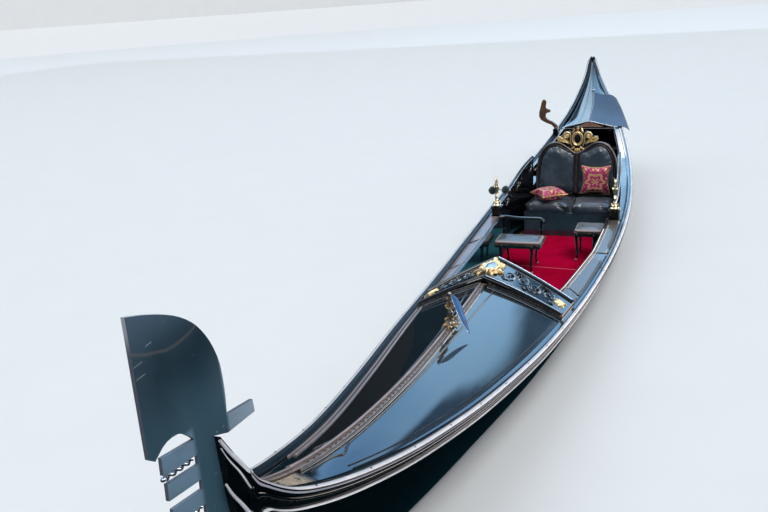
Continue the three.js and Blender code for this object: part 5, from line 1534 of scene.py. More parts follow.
for row, below in zip(front, front[1:]):
    for k in range(8):
        flat_area += ((row[k + 1] - row[k]).cross(below[k] - row[k])).length / 2
        flat_area += ((below[k + 1] - row[k + 1]).cross(below[k + 1] - below[k])).length / 2
hem = Heap()
hem.tube([row[0] for row in front[:-1]], 0.0016, 6)
hem.piece("pennant_hem", SILVER, slot="cloth", angle=60)
hooks = Heap()
for i in (1, 9):
    p = hang[i]
    hooks.tube(curve([Vector((CENTRE_X, 0.002, p.z - 0.004)), Vector((CENTRE_X, 0.006, p.z + 0.004)),
                      front[i][0] + Vector((0, 0, 0.001))], 8), 0.0016, 6)
hooks.piece("pennant_hooks", SILVER, slot="brass")

# Locker doors under the foredeck: raised panels and brass knobs
LOCKER_FACE = 1.700
for side, full in FULL.items():
    s, body = SIGN[side], f"locker_door_{full}"
    dressed(f"locker_door_{full}", PLAIN, "gloss", 0.0016, 35, f"locker_door_{full}_leaf")
    y0, y1 = (0.042, 0.262)
    frame_line = [(y0, 0.03), (y1, 0.03), (y1, 0.26), (y0, 0.26)]
    panel = Heap()
    line = [Vector((LOCKER_FACE, s * y, z)) for y, z in frame_line]
    corner = [line[i].lerp(line[(i + 1) % 4], t) for i in range(4) for t in (0.0, 0.5)]
    panel.sweep(corner, Vector((-1, 0, 0)), half_round(0.008, 0.0035, 7), closed=True)
    panel.piece(f"locker_panel_{full}", WORN, body=body, angle=60)
    knob = Heap().turned([(0.012, 0), (0.012, 0.0015), (0.005, 0.003), (0.0045, 0.007), (0.009, 0.010),
                          (0.0098, 0.014),
                          (0.007, 0.0172), (0.0005, 0.0178)], Vector((LOCKER_FACE, s * 0.034, 0.14)), 24,
                          Vector((-1, 0, 0)))
    knob.piece(f"locker_knob_{full}", BRASS, body=body, slot="brass", angle=50)


# Carpet: crimson pile laid over the floor boards, with a sewn seam across it and a few long creases
carpet_paint = Paint("crimson_pile", Sheen_Weight=0.12, Sheen_Roughness=0.4,
                     Sheen_Tint=(1.0, 0.10, 0.30, 1),
                     Specular_IOR_Level=0.0)
tufts = carpet_paint.cells(480)
trodden = carpet_paint.noise(3.0, 5, 0.6, 0.6).step(0.3, 0.75)
red = carpet_paint.mix(trodden, (0.30, 0.0006, 0.020), (0.44, 0.0012, 0.034))
# Paler pink towards the bow end: a painted sheen of the pile seen at a low angle
red = carpet_paint.mix(carpet_paint.x.step(0.35, 1.3) * 0.6, red, (0.60, 0.090, 0.170))
SEAM_X = -0.285
seam = abs(carpet_paint.x - carpet_paint.y * 0.055 - SEAM_X).step(0.010, 0.004)
red = carpet_paint.mix(seam * 0.6, red, (0.62, 0.18, 0.24))
# Darker where the tufts part: painted shade between the tufts
red = carpet_paint.mix(tufts.step(0.55, 0.9) * 0.4, red, (0.16, 0.0003, 0.008))
carpet_paint.bump(tufts * -1.0 + 1.0, 0.0016, 0.5)
carpet_paint.bump(trodden, 0.006, 0.5)
carpet_paint.bump(seam * -1.0, 0.003, 0.6)
CARPET = carpet_paint.finish(Base_Color=red, Roughness=0.85 + tufts * 0.1)


def carpet_edge(side, x):
    return (along(INSIDE[side],
                  x) if x > -0.6 else along(WING[side], x) if x < -0.7 else POST_Y[side][0] - 0.012) - 0.005


top_rows, area = [], 0.0
carpet_xs = columns(-1.316, 1.694, 0.03)
for x in carpet_xs:
    low, high = -carpet_edge("star", x), min(carpet_edge("port", x), 0.560)
    low = max(low, -0.367)
    row = []
    for k in np.linspace(0, 1, 31):
        y = low + (high - low) * k
        far_crease = 0.0016 * math.exp(-((y - 0.30 + 0.06 * x) / 0.012) ** 2)
        crease = far_crease + 0.0014 * math.exp(-((y - 0.08 - 0.03 * x) / 0.01) ** 2)
        wave = 0.0009 * math.sin(5.1 * x + 3.0 * y) * math.sin(7.3 * y + 1.7 * x)
        lifted = crease + wave - 0.0016 * math.exp(-((x - y * 0.055 - SEAM_X) / 0.012) ** 2)
        row.append(Vector((x, y, -0.0552 + lifted)))
    top_rows.append(row)
for row, below in zip(top_rows, top_rows[1:]):
    for k in range(30):
        area += (row[k + 1] - row[k]).cross(below[k] - row[k]).length
carpet = Heap().rings([row + [Vector((p.x, p.y, -0.0596)) for p in row[::-1]] for row in top_rows]).piece(
    "crimson_carpet", CARPET, stands_for=["carpet"], slot="carpet", angle=50)

# Chair and stool: black turned and carved frames with padded leather tops
FOOT_Z = -0.0464


def seat_leather(name, x0, x1, y0, y1):
    """Black leather, rubbed to a pinkish brown round its rolled edge."""
    p = Paint(name, Sheen_Weight=0.25, Sheen_Roughness=0.4, Specular_IOR_Level=0.7)
    near_x = abs(p.x - (x0 + x1) / 2) / ((x1 - x0) / 2)
    near_y = abs(p.y - (y0 + y1) / 2) / ((y1 - y0) / 2)
    edge = ((near_x ** 10) + (near_y ** 16)) ** 0.1
    rubbed = (edge + p.noise(26, 5, 0.65) * 0.16).step(0.82, 0.96)
    # Paler bluish patches: painted sheen of the sky on the black leather
    sheen_patches = p.noise(7, 4, 0.5).step(0.35, 0.7)
    colour = p.mix(sheen_patches * 0.6, (0.016, 0.018, 0.026), (0.05, 0.055, 0.075))
    colour = p.mix(rubbed * 0.9, colour, (0.33, 0.25, 0.22))
    p.bump(p.noise(12, 6, 0.6, 1.0), 0.008, 0.4)
    p.bump(p.cells(340, "SMOOTH_F1"), 0.0005, 0.35)
    return p.finish(Base_Color=colour, Roughness=0.30 + sheen_patches * 0.1 + rubbed * 0.25)


def rounded_box(x0, x1, y0, y1, radius, count=6):
    """The (x, y) outline of a rectangle with round corners."""
    out = []
    for cx, cy, start in ((x1 - radius, y1 - radius, 0), (x0 + radius, y1 - radius, 90),
                          (x0 + radius, y0 + radius, 180),
                          (x1 - radius, y0 + radius, 270)):
        for k in range(count + 1):
            t = math.radians(start + 90 * k / count)
            out.append((cx + radius * math.cos(t), cy + radius * math.sin(t)))
    filled = []
    for i, (x, y) in enumerate(out):
        x2, y2 = out[(i + 1) % len(out)]
        stretch = max(1, int(math.hypot(x2 - x, y2 - y) / 0.02))
        filled += [(x + (x2 - x) * k / stretch, y + (y2 - y) * k / stretch) for k in range(stretch)]
    return filled


def small_seat(name, x0, x1, y0, y1, top, near, far, pad_aft):
    heap = Heap()
    outline = rounded_box(x0, x1, y0, y1, 0.035)
    mid = Vector(((x0 + x1) / 2, (y0 + y1) / 2))
    rings = []
    for z, drawn in ((-0.032, 0.012), (-0.030, 0.008), (-0.020, 0.006), (-0.016, 0.003), (-0.012, 0.0005),
                     (-0.006, 0.0),
                     (-0.002, 0.002), (0, 0.006)):
        ring = []
        for i, (x, y) in enumerate(outline):
            way = (mid - Vector((x, y)))
            way = Vector((math.copysign(min(abs(way.x), 1),
                                        way.x) if abs(x - mid.x) > (x1 - x0) / 2 - 0.03 else 0,
                          math.copysign(min(abs(way.y), 1),
                                        way.y) if abs(y - mid.y) > (y1 - y0) / 2 - 0.03 else 0))
            way = way.normalized() if way.length else way
            swag = 0.012 * (math.sin(i * 0.55) ** 2) if z <= -0.030 else 0
            ring.append(Vector((x + way.x * drawn, y + way.y * drawn, top + z - swag)))
        rings.append(ring)
    heap.rings(rings)
    gadroon = Heap()
    bead_line = [Vector((x, y, top - 0.008)) for x, y in outline]
    for i, p in enumerate(bead_line):
        out = Vector((p.x - mid.x, p.y - mid.y, 0))
        gadroon.turned([(0.0005, -0.010), (0.005, -0.007), (0.0068, 0), (0.005, 0.006), (0.0005, 0.008)],
                       p - out.normalized() * 0.003, 7)
    gadroon.piece(f"{name}_carved_edge", WORN, slot="wood", angle=60)
    feet = Heap()
    for cx, dx in ((x0 + 0.022, -1), (x1 - 0.022, 1)):
        for cy, dy in ((y0 + near, -1), (y1 - far, 1)):
            path = curve([(cx, cy, top - 0.026),
                          (cx + dx * 0.010, cy + dy * 0.010, top * 0.86 + FOOT_Z * 0.14),
                          (cx + dx * 0.012, cy + dy * 0.012, top * 0.68 + FOOT_Z * 0.32),
                          (cx + dx * 0.003, cy + dy * 0.003, top * 0.28 + FOOT_Z * 0.72),
                          (cx + dx * 0.006, cy + dy * 0.006, top * 0.08 + FOOT_Z * 0.92),
                          (cx + dx * 0.014, cy + dy * 0.014, FOOT_Z + 0.006)], 22)
            radii = [float(np.interp(k / 21, (0, 0.15, 0.4, 0.75, 0.92, 1),
                                     (0.019, 0.020, 0.014, 0.009, 0.010, 0.0125)))
                     for k in range(22)]
            heap.tube(path, radii, 14)
            knee = path[3]
            way = Vector((dx, dy, 0)).normalized()
            sideways = Vector((-way.y, way.x, 0))
            def lay(a, b, out=0.0, knee=knee, way=way, sideways=sideways):
                return knee + sideways * a + Vector((0, 0, b)) + way * (0.017 + out)

            leaf(heap, lay, (0, 0.018), (0, -0.030), 0.011, 0.0, 0.004, 0.0, 2)
            foot = Vector((cx + dx * 0.014, cy + dy * 0.014, FOOT_Z - 0.0065))
            feet.turned([(0.0125, 0), (0.0135, 0.002), (0.0155, 0.008), (0.0148, 0.015), (0.0115, 0.019),
                         (0.010, 0.020)],
                        foot, 18)
    feet.piece(f"{name}_ferrules", gilding(f"{name}_ferrule", (0.55, 0.46, 0.36), (0.3, 0.22, 0.16), 0.2),
               slot="brass",
               angle=50)
    pad_x0 = x0 + pad_aft
    hide = seat_leather(f"{name}_leather", pad_x0, x1, y0, y1)
    ring0 = rounded_box(pad_x0 + 0.007, x1 - 0.007, y0 + 0.007, y1 - 0.007, 0.03)
    mid_pad = Vector(((pad_x0 + x1) / 2, (y0 + y1) / 2))
    pad_rings = []
    for z, drawn in ((0.0008, 0.010), (0.004, 0.002), (0.011, 0.0), (0.018, 0.003), (0.023, 0.012),
                     (0.0245, 0.026),
                     (0.022, 0.036), (0.0235, 0.050), (0.028, 0.080)):
        pad_rings.append([Vector((x, y, top + z))
                          + Vector((*((mid_pad - Vector((x, y))).normalized() * drawn), 0))
                          for x, y in ring0])
    pad = Heap().rings(pad_rings)
    stuffed(f"{name}_pad", pad.verts, pad.faces, hide, f"{name}_seat", voxel=0.006,
            pressure=2.0, cap=0.005,
            rounds=12, held=lambda p: p.z < top + 0.004 or (0.0205 < p.z - top < 0.0222))
    return heap


chair_y0, chair_y1, arm_x = -0.342, 0.112, -0.385 + 0.014
frame_heap = small_seat("chair", -0.385, -0.065, chair_y0, chair_y1, 0.232, 0.084, 0.100, 0.042)
mid_y = (chair_y0 + chair_y1) / 2
arm = curve([(arm_x + 0.030, chair_y0 + 0.002, 0.404), (arm_x + 0.018, chair_y0 + 0.012, 0.417),
             (arm_x, chair_y0 + 0.060, 0.419),
             (arm_x - 0.006, mid_y - 0.06, 0.407), (arm_x - 0.006, mid_y + 0.06, 0.406),
             (arm_x, chair_y1 - 0.070, 0.408),
             (arm_x + 0.014, chair_y1 - 0.034, 0.400), (arm_x + 0.024, chair_y1 - 0.024, 0.388)], 44)
frame_heap.tube(arm, [0.0185 if 3 < k < 40 else 0.014 for k in range(44)], 16, flat=0.72)
for end, hand in ((arm[0], -1), (arm[-1], 1)):
    def lay(a, b, out=0.0, end=end, hand=hand):
        return end + Vector((out, hand * a, b))

    scroll(frame_heap, lay, (0.002, -0.012), 0.016, 90, 1.2, -1, 0.0065, [], 0.0)
for y, high in ((chair_y0 + 0.040, 0.414), (chair_y1 - 0.050, 0.402)):
    stay = curve([(arm_x + 0.002, y, 0.222), (arm_x + 0.014, y + 0.004, 0.262),
                  (arm_x + 0.010, y + 0.004, 0.318),
                  (arm_x - 0.002, y + 0.002, 0.370), (arm_x, y, high)], 18)
    radii = [float(np.interp(k / 17, (0, 0.2, 0.5, 0.8, 1), (0.015, 0.0125, 0.0085, 0.0105, 0.013)))
             for k in range(18)]
    frame_heap.tube(stay, radii, 12)
    frame_heap.turned([(0.0005, -0.006), (0.013, -0.004), (0.0145, 0), (0.013, 0.004), (0.0005, 0.006)],
                      Vector((arm_x + 0.011, y + 0.004, 0.300)), 14)
frame_heap.piece("chair_carved_frame", GLOSS, stands_for=["chair_frame"], slot="wood", angle=48)
stool_heap = small_seat("stool", -0.830, -0.520, 0.352, 0.632, 0.236, 0.040, 0.096, 0.010)
stool_heap.piece("stool_carved_frame", GLOSS, stands_for=["stool_frame"], slot="wood", angle=48)

# Seat wings: boards that sweep up to the seat, with a broad polished top edge and carved vines inside
for side, full in FULL.items():
    s = SIGN[side]
    line = curve([Vector(p) for p in WING[side]], 40)
    rings = []

    def kept_in(x, y, z, spare=0.0):
        """A point drawn in to the planking's inner face where it would reach past it."""
        c = at(x)
        top = c[RAIL_Z] - RAIL_H * steep(x)
        t = min(max((z - c[CHINE_Z]) / (top - c[CHINE_Z]), 0), 1)
        return Vector((x, s * min(y, abs(shell(c, side, t).y) - PLANK - 0.002 - spare), z))
    low = (-0.0596, 0.0, 0.06, 0.12, 0.18, 0.24)
    for p in line:
        x, y, z = p.x, p.y, p.z
        rings.append([kept_in(x, y, b, 0.003) for b in low] + [Vector((x, s * (y + a), b)) for a, b in
                      ((0, z - 0.030), (-0.001, z - 0.024), (-0.0045, z - 0.020), (-0.0065, z - 0.012),
                       (-0.004, z - 0.003), (0.002, z + 0.003), (0.010, z + 0.005), (0.020, z + 0.003),
                       (0.027, z - 0.004),
                       (0.029, z - 0.012), (0.027, z - 0.020), (0.026, z - 0.026))]
                     + [kept_in(x, y + 0.026, b) for b in low[::-1]])
    post_y0, post_y1 = POST_Y[side]
    wing_heap = Heap().rings(rings)
    cap_top = 0.450
    for drawn, z0, z1 in ((0.0, -0.0596, cap_top - 0.026), (-0.006, cap_top - 0.026, cap_top - 0.017),
                          (-0.010, cap_top - 0.017, cap_top - 0.006), (-0.004, cap_top - 0.006, cap_top)):
        box_line = rounded_box(-0.718 + drawn, -0.622 - drawn, post_y0 + drawn, post_y1 - drawn, 0.010, 3)
        wing_heap.rings([[kept_in(x, y, z) if z < 0.3 else Vector((x, s * y, z)) for x, y in box_line]
                         for z in ((*low, z1) if z0 < 0 else (z0, z1))])
    wing_heap.piece(f"wing_{full}_board", GLOSS, stands_for=[f"wing_{full}"], angle=50)
    silvered = Heap()
    silvered.tube([Vector((p.x, s * (p.y - 0.0045), p.z - 0.010)) for p in line[2:-1]], 0.0042, 8)
    silvered.piece(f"wing_{full}_silver_line", SILVER, slot="steel", angle=60)

    def on_wing(a, b, out=0.0, side=side, s=s):
        """A place on a wing's inner face: a forward from its after end, b up from the top edge."""
        x = -1.70 + a
        return Vector((x, s * (along(WING[side], x) - out), along(WING[side], x, 2) - 0.075 + b))
    vine = Heap()
    rinceau(vine, on_wing, 0.03, 0.92, 6, 0.040, 0.0065, 0.001)
    vine.piece(f"wing_{full}_vine", INKED, slot="gilt", angle=40)


# Sea horses on the posts, cast in brass
def sea_horse(full, where, hand):
    heap = Heap()
    heap.turned([(0.040, 0.0005), (0.042, 0.006), (0.036, 0.010), (0.030, 0.018), (0.033, 0.024),
                 (0.024, 0.032),
                 (0.014, 0.040), (0.012, 0.050), (0.017, 0.058), (0.012, 0.066)], where, 28,
                wobble=lambda t, h: 1 + (0.045 * math.cos(8 * t) if 0.012 < h < 0.036 else 0))

    def lay(a, b, out=0.0):
        return where + Vector((a, out * hand, b))
    coil = [(0.010 + 0.021 * math.cos(t) * k, 0.088 + 0.021 * math.sin(t) * k)
            for t, k in ((math.radians(-300 + 36 * i), 0.35 + 0.065 * i) for i in range(11))]
    body_line = [*coil, (-0.006, 0.116), (-0.018, 0.140), (-0.012, 0.166), (0.004, 0.188), (0.008, 0.212),
                 (0.000, 0.236),
                 (-0.002, 0.256), (0.008, 0.272), (0.026, 0.272), (0.040, 0.262)]
    path = curve([lay(a, b) for a, b in body_line], 70)
    radii = [float(np.interp(k / 69, (0, 0.3, 0.5, 0.62, 0.75, 0.86, 0.93, 1),
                             (0.003, 0.007, 0.0105, 0.017, 0.018, 0.0115, 0.013, 0.0055)))
                             for k in range(70)]
    heap.tube(path, radii, 14)
    for k in range(9):
        place_at = path[30 + k * 4]
        back = Vector((-1, 0, 0.35)).normalized()
        root = place_at + back * (radii[30 + k * 4] * 0.7)
        def plane(a, b, out=0.0, root=root, back=back):
            return root + back * b + Vector((0, 1, 0)) * out + Vector((0.3, 0, 1)) * a

        leaf(heap, plane, (0, 0), (0.004, 0.019 - 0.0012 * abs(k - 4)), 0.008, 0.0, 0.003, 0.0, 1)
    for out in (-1, 1):
        ear = lay(-0.002, 0.282, 0.008 * out)
        heap.turned([(0.004, 0), (0.0045, 0.005), (0.0005, 0.018)], ear, 8,
                    Vector((-0.35, out * 0.2, 1)).normalized())
        heap.turned([(0.0028, -0.001), (0.0026, 0.0012), (0.0004, 0.0026)],
                    lay(0.016, 0.276, 0.0115 * out), 10,
                    Vector((0.2, out, 0.1)).normalized())
        def fin(a, b, o=0.0, out=out):
            return lay(0.012 + a, 0.168 + b, out * (0.016 + 0.25 * abs(b) + o))

        leaf(heap, fin, (0, 0), (-0.034, 0.034), 0.014, 0.0, 0.006, 0.0, 2)
        leg_line = curve([lay(0.016, 0.196, 0.010 * out), lay(0.036, 0.206, 0.012 * out),
                          lay(0.046, 0.192, 0.012 * out),
                          lay(0.040, 0.176, 0.012 * out)], 12)
        heap.tube(leg_line, [0.0075, 0.0072, 0.0066, 0.006, 0.0055, 0.005, 0.0048, 0.0046, 0.0044, 0.0044,
                             0.005, 0.0054], 9)
    for k in range(6):
        t = 2 * math.pi * k / 6
        outward = Vector((math.cos(t), math.sin(t), 0))
        sideways = Vector((-math.sin(t), math.cos(t), 0))
        def plane(a, b, o=0.0, outward=outward, sideways=sideways):
            return where + outward * (0.030 + o + 0.10 * b) + sideways * a + Vector((0, 0, 0.006 + b))

        leaf(heap, plane, (0, 0), (0, 0.040), 0.013, 0.0, 0.006, 0.0, 2)
    heap.piece(f"sea_horse_{full}_cast", BRASS, stands_for=[f"sea_horse_{full}"], slot="brass", angle=55)


sea_horse("port", Vector((-0.670, sum(POST_Y["port"]) / 2, 0.4502)), 1)
sea_horse("starboard", Vector((-0.670, -sum(POST_Y["star"]) / 2, 0.4502)), -1)

# Small gilt finial on the starboard wing, and a cord with two wool balls from it to the sea horse
wool = Paint("pompom_wool", Sheen_Weight=0.5, Sheen_Roughness=0.5, Specular_IOR_Level=0.2)
strands = wool.noise(160, 3, 0.7)
wool.bump(strands, 0.004, 0.8)
WOOL = wool.finish(Base_Color=wool.mix(strands.step(0.35, 0.65), (0.002, 0.010, 0.010),
                                       (0.010, 0.040, 0.036)), Roughness=0.9)
side, full = "star", "starboard"
x = -1.06
foot = Vector((x, -(along(WING[side], x) + 0.011), along(WING[side], x, 2) + 0.002))
Heap().turned([(0.014, 0), (0.015, 0.003), (0.009, 0.008), (0.006, 0.014), (0.010, 0.022), (0.014, 0.032),
               (0.0155, 0.040),
               (0.011, 0.050), (0.005, 0.056), (0.0055, 0.061), (0.0075, 0.066), (0.004, 0.074),
               (0.0005, 0.082)], foot,
              22, wobble=lambda t, h: 1 + (0.07 * math.cos(6 * t) if 0.018 < h < 0.05 else 0)).piece(
    f"finial_{full}", GILT, slot="gilt", angle=55)
tip = foot + Vector((0.006, 0, 0.057))
ball_a, ball_b = Vector((-0.670, -0.478, 0.605)), Vector((-0.860, -0.386, 0.565))
neck = Vector((-0.676, -(sum(POST_Y[side]) / 2) - 0.014, 0.4502 + 0.205))
rope = curve([tip, tip.lerp(ball_b, 0.5) + Vector((0, 0, -0.012)), ball_b,
              ball_b.lerp(neck, 0.5) + Vector((0, 0, -0.022)),
              neck, neck.lerp(ball_a, 0.5) + Vector((0, -0.010, 0.004)), ball_a], 80)
length = sum((b - a).length for a, b in zip(rope, rope[1:]))
cord_made = Heap().tube(rope, 0.0042, 10).piece(f"wing_cord_{full}", WOOL, slot="cloth", angle=80)
balls = Heap()
rng = np.random.default_rng(5)
for ball in (ball_a, ball_b):
    rows = []
    for i in range(15):
        polar = math.pi * (i + 0.02) / 14.04
        rows.append([ball + Vector((math.sin(polar) * math.cos(t), math.sin(polar) * math.sin(t),
                                    math.cos(polar)))
                     * (0.040 * (1 + 0.10 * math.sin(9 * t + 5 * polar) * math.sin(7 * polar) + 0.05
                                 * rng.uniform(-1, 1)))
                     for t in (2 * math.pi * j / 28 for j in range(28))])
    balls.rings(rows)
made_balls = balls.piece(f"wing_pompoms_{full}", WOOL, slot="cloth", angle=80)
[tuple(p) for p in rope]
tuple(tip)


# After deck: two cambered halves with a ridge bead, fine lengthwise lines and a lifting ring
DECK_FROM, DECK_TO = -3.70, -5.30


def aft_mid(x):
    c = at(x)
    return (c[PORT] - c[STAR]) / 2


def aft_deck(side, x, v, lift=0.0):
    """The after deck's upper face, v from its ridge to the rail."""
    c = at(x)
    mid, out = aft_mid(x), SIGN[side] * inner(c, side)
    edge = c[RAIL_Z] - DECK_DROP * steep(x)
    rise_here = 0.086 * min(max((x + 5.3) / 1.5, 0), 1) ** 0.8
    z = edge - sunk(side, x) * v ** 6 + rise_here * (1 - v) + 0.05 * rise_here * math.sin(math.pi * v)
    return Vector((x, mid + (out - mid) * v + SIGN[side] * GAP * 0.6 * (1 - v), z + lift))


aft_xs = columns(DECK_TO, DECK_FROM, 0.035)
for side, full in FULL.items():
    vs = np.linspace(0, 1, 9)
    Heap().rings([[aft_deck(side, x, v) for v in vs] + [aft_deck(side, x, v, -DECK_THICK) for v in vs[::-1]]
                  for x in aft_xs]).piece(f"aft_deck_{full}_panel", DECK, stands_for=[f"aft_deck_{full}"],
                                          angle=50)
    beads = Heap()
    upward = Vector((0.12, 0, 1)).normalized()
    for v, wide in ((0.34, 0.006), (0.40, 0.004), (0.90, 0.012)):
        if side == "star" or v == 0.90:
            beads.sweep([aft_deck(side, x, v, -0.0005) for x in aft_xs[1:-3]], upward,
                        half_round(wide, wide * 0.6))
    beads.piece(f"aft_deck_{full}_lines", GLOSS, angle=60)
ridge_line = Heap().sweep([Vector((x, aft_mid(x), aft_deck("port", x, 0).z - 0.001))
                           for x in aft_xs[1:-2]], upward,
                          half_round(0.020, 0.009, 9))
ridge_line.piece("aft_deck_ridge", WORN, angle=60)
ring_x = -4.62
ring_at = Vector((ring_x, aft_mid(ring_x), aft_deck("port", ring_x, 0).z + 0.011))
Heap().tube([ring_at + Vector((0.018 * math.cos(t), 0.026 * math.sin(t), 0.002)) for t in
             (2 * math.pi * k / 30 for k in range(30))], 0.0036, 8, True).piece("aft_deck_ring", SILVER,
                                                                                slot="steel", angle=60)

# Arch at the deck's fore end: a black board, a brown veneer under its peak, a silver line below
arch_c = at(DECK_FROM)
arch_edge, arch_mid = arch_c[RAIL_Z] - DECK_DROP, aft_mid(DECK_FROM)
arch_s, arch_p = -inner(arch_c, "star"), inner(arch_c, "port")
face = [(arch_s, arch_edge + 0.006), (arch_mid, arch_edge + 0.094), (arch_p, arch_edge + 0.006),
        (arch_p, arch_edge - 0.046),
        (arch_mid + 0.24, arch_edge - 0.046), (arch_mid + 0.20, arch_edge - 0.030),
        (arch_mid - 0.20, arch_edge - 0.030),
        (arch_mid - 0.24, arch_edge - 0.046), (arch_s, arch_edge - 0.046)]
arch = Heap().rings([[Vector((x, y + (arch_mid - y) * d * 0.02, z - d * 0.1 * (z - arch_edge))) for y,
                      z in face]
                     for x, d in ((DECK_FROM + GAP, 0), (-3.683, 0), (-3.680, 0.15))])
arch.piece("aft_arch_board", GLOSS, stands_for=["aft_arch"], angle=30)
veneer = timber("arch_veneer", (0.30, 0.15, 0.085), (0.09, 0.04, 0.024), (4, 1, 4), 60.0, 0.4, 0.4,
                (0.36, 0.22, 0.15))
VENEER_OUTLINE = ((0.185, 0), (0, 0.072), (-0.185, 0))
tympanum = Heap().rings([[Vector((x, arch_mid + a * k, arch_edge + 0.012 + b * k)) for a, b in VENEER_OUTLINE]
                         for x, k in ((-3.681, 1), (-3.678, 1), (-3.677, 0.97))])
tympanum.piece("aft_arch_veneer", veneer, slot="wood", angle=30)
lines = Heap()
lines.tube([Vector((-3.679, y, arch_edge - 0.008)) for y in np.linspace(arch_s + 0.01, arch_p - 0.01, 12)],
           0.0045, 8)
for y0, y1 in ((arch_s + 0.01, arch_mid), (arch_mid, arch_p - 0.01)):
    def arch_top(y):
        k = abs(y - arch_mid) / (abs((arch_p if y > arch_mid else arch_s) - arch_mid))
        return arch_edge + 0.094 + (0.006 - 0.094) * k
    lines.tube([Vector((-3.682, y, arch_top(y) - 0.004)) for y in np.linspace(y0, y1, 10)], 0.0050, 8)
lines.piece("aft_arch_lines", SILVER, slot="steel", angle=60)

# Well coaming and steps
dressed("well_coaming", PLAIN, "gloss", 0.004, 40, "well_coaming_board")
stripe = Heap()
for side in FULL:
    s = SIGN[side]
    points = [Vector((x, s * (well_half(side, x) - 0.001), at(x)[RAIL_Z] - 0.040))
              for x in columns(-3.66, -2.36, 0.04)]
    stripe.sweep(points, Vector((0, -s, 0)), half_round(0.014, 0.005, 7))
stripe.piece("well_stripe", veneer, slot="wood", angle=60)
TREAD = satin("worn_tread", (0.020, 0.020, 0.022), (0.22, 0.17, 0.13))
dressed("steps", TREAD, "gloss", 0.003, 35, "step_boards")
treads = Heap()
for x0, x1 in ((-3.18, -3.01), (-3.50, -3.33)):
    z = at((x0 + x1) / 2)[RAIL_Z] - 0.150
    for k in range(5):
        x = x0 + 0.028 + k * 0.028
        treads.sweep([Vector((x, y, z - 0.0004)) for y in np.linspace(-0.12, 0.44, 9)], Vector((0, 0, 1)),
                     half_round(0.008, 0.003, 5))
treads.piece("tread_ribs", TREAD, angle=60)

# Standing mat: ribbed cloth laid on the port half of the after deck, out over the rail
ribbed = Paint("ribbed_mat", Sheen_Weight=0.1, Sheen_Roughness=0.5, Specular_IOR_Level=0.3)
ribs = ((ribbed.y * 0.94 + ribbed.x * 0.34) * 520).sine() * 0.5 + 0.5
faded = ribbed.noise(5, 4, 0.6).step(0.3, 0.75)
near_share = ribbed.x.step(-4.35, -3.80)
mat_colour = ribbed.mix(near_share * 0.8 + faded * 0.2, (0.016, 0.048, 0.105), (0.050, 0.110, 0.210))
mat_colour = ribbed.mix(ribs * 0.25, mat_colour, (0.02, 0.05, 0.11))
ribbed.bump(ribs, 0.0012, 0.5)
ribbed.bump(faded, 0.004, 0.4)
RIBBED = ribbed.finish(Base_Color=mat_colour, Roughness=0.62 + ribs * 0.1)
mat_rows, mat_area = [], 0.0
for x in columns(-4.56, -3.69, 0.03):
    c = at(x)
    t = max(-3.72 - x, 0) / 0.84
    y0 = 0.150 + (aft_mid(x) + 0.020 - 0.150) * t
    y_in, y_out = inner(c, "port"), c[PORT]
    row = []
    for k in np.linspace(0, 1, 21):
        y = y0 + (y_out + 0.088 - y0) * k
        v = min((y - aft_mid(x)) / (y_in - aft_mid(x)), 1)
        z = aft_deck("port", x, v).z + 0.0016
        z = max(z, c[RAIL_Z] + 0.006 - 0.35 * max(0, y_in - 0.02 - y)) if y > y_in - 0.05 else z
        z -= 5.0 * max(0, y - y_out + 0.02) ** 2
        z += 0.0016 * math.sin(9 * x + 5 * y) * (0.4 + k) + 0.0012
        row.append(Vector((x, y, z)))
    mat_rows.append(row)
for row, below in zip(mat_rows, mat_rows[1:]):
    for k in range(20):
        mat_area += (row[k + 1] - row[k]).cross(below[k] - row[k]).length
mat = Heap().rings([row + [p + Vector((0, 0, 0.0055)) for p in row[::-1]] for row in mat_rows]).piece(
    "ribbed_mat", RIBBED, stands_for=["standing_mat"], slot="mat", angle=60)
mat_width = max(sum((b - a).length for a, b in zip(row, row[1:])) for row in mat_rows)
mat_long = sum((b[10] - a[10]).length for a, b in zip(mat_rows, mat_rows[1:])) * 1.04
min(mat_area, mat_width * mat_long)


# Forcola: the carved walnut rowlock on its block
def carved_smooth(node, material, name, voxel=0.004, rounds=14):
    """The CAD node's form with all its corners worn round, as a carver leaves it."""
    mesh = nodes[node].data.copy()
    mesh.name = name
    made = bpy.data.objects.new(name, mesh)
    scene.collection.objects.link(made)
    remesh = made.modifiers.new("remesh", "REMESH")
    remesh.mode, remesh.voxel_size = "VOXEL", voxel
    smooth = made.modifiers.new("smooth", "SMOOTH")
    smooth.factor, smooth.iterations = 0.5, rounds
    settle(made)
    made.data.materials.clear()
    made.data.materials.append(material)
    made.data.polygons.foreach_set("use_smooth", [True] * len(made.data.polygons))
    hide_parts(node)
    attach(made, nodes[node]["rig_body"])
    return made


WALNUT = timber("oiled_walnut", (0.22, 0.095, 0.050), (0.055, 0.022, 0.013), (5, 5, 0.8), 26.0, 0.32, 0.5,
                (0.34, 0.20, 0.15))
carved_smooth("forcola", WALNUT, "forcola_carved", 0.004, 22)
dressed("forcola_block", PLAIN, "gloss", 0.005, 35, "forcola_block_eased")

# Stern iron: a thin strip up the back of the stern post and over its head
backs = sorted((shell(FINE[-1], "port", t) for t in np.linspace(0, 1, 9)), key=lambda p: p.z)
points = curve([Vector((p.x - 0.0415, 0, p.z)) for p in backs if 0.85 < p.z < 1.46]
               + [Vector((-5.4015, 0, 1.500)), Vector((-5.4025, 0, 1.532)), Vector((-5.388, 0, 1.542)),
                  Vector((-5.362, 0, 1.524))], 34)
ways = [points[min(k + 1, 33)] - points[max(k - 1, 0)] for k in range(34)]
strip = Heap()
strip.sweep(points, [Vector((-way.z, 0, way.x)).normalized() for way in ways],
            [(0.010, -0.001), (0.009, 0.0022), (0, 0.0032), (-0.009, 0.0022), (-0.010, -0.001)])
strip.piece("stern_iron", STEEL, slot="steel", angle=50)


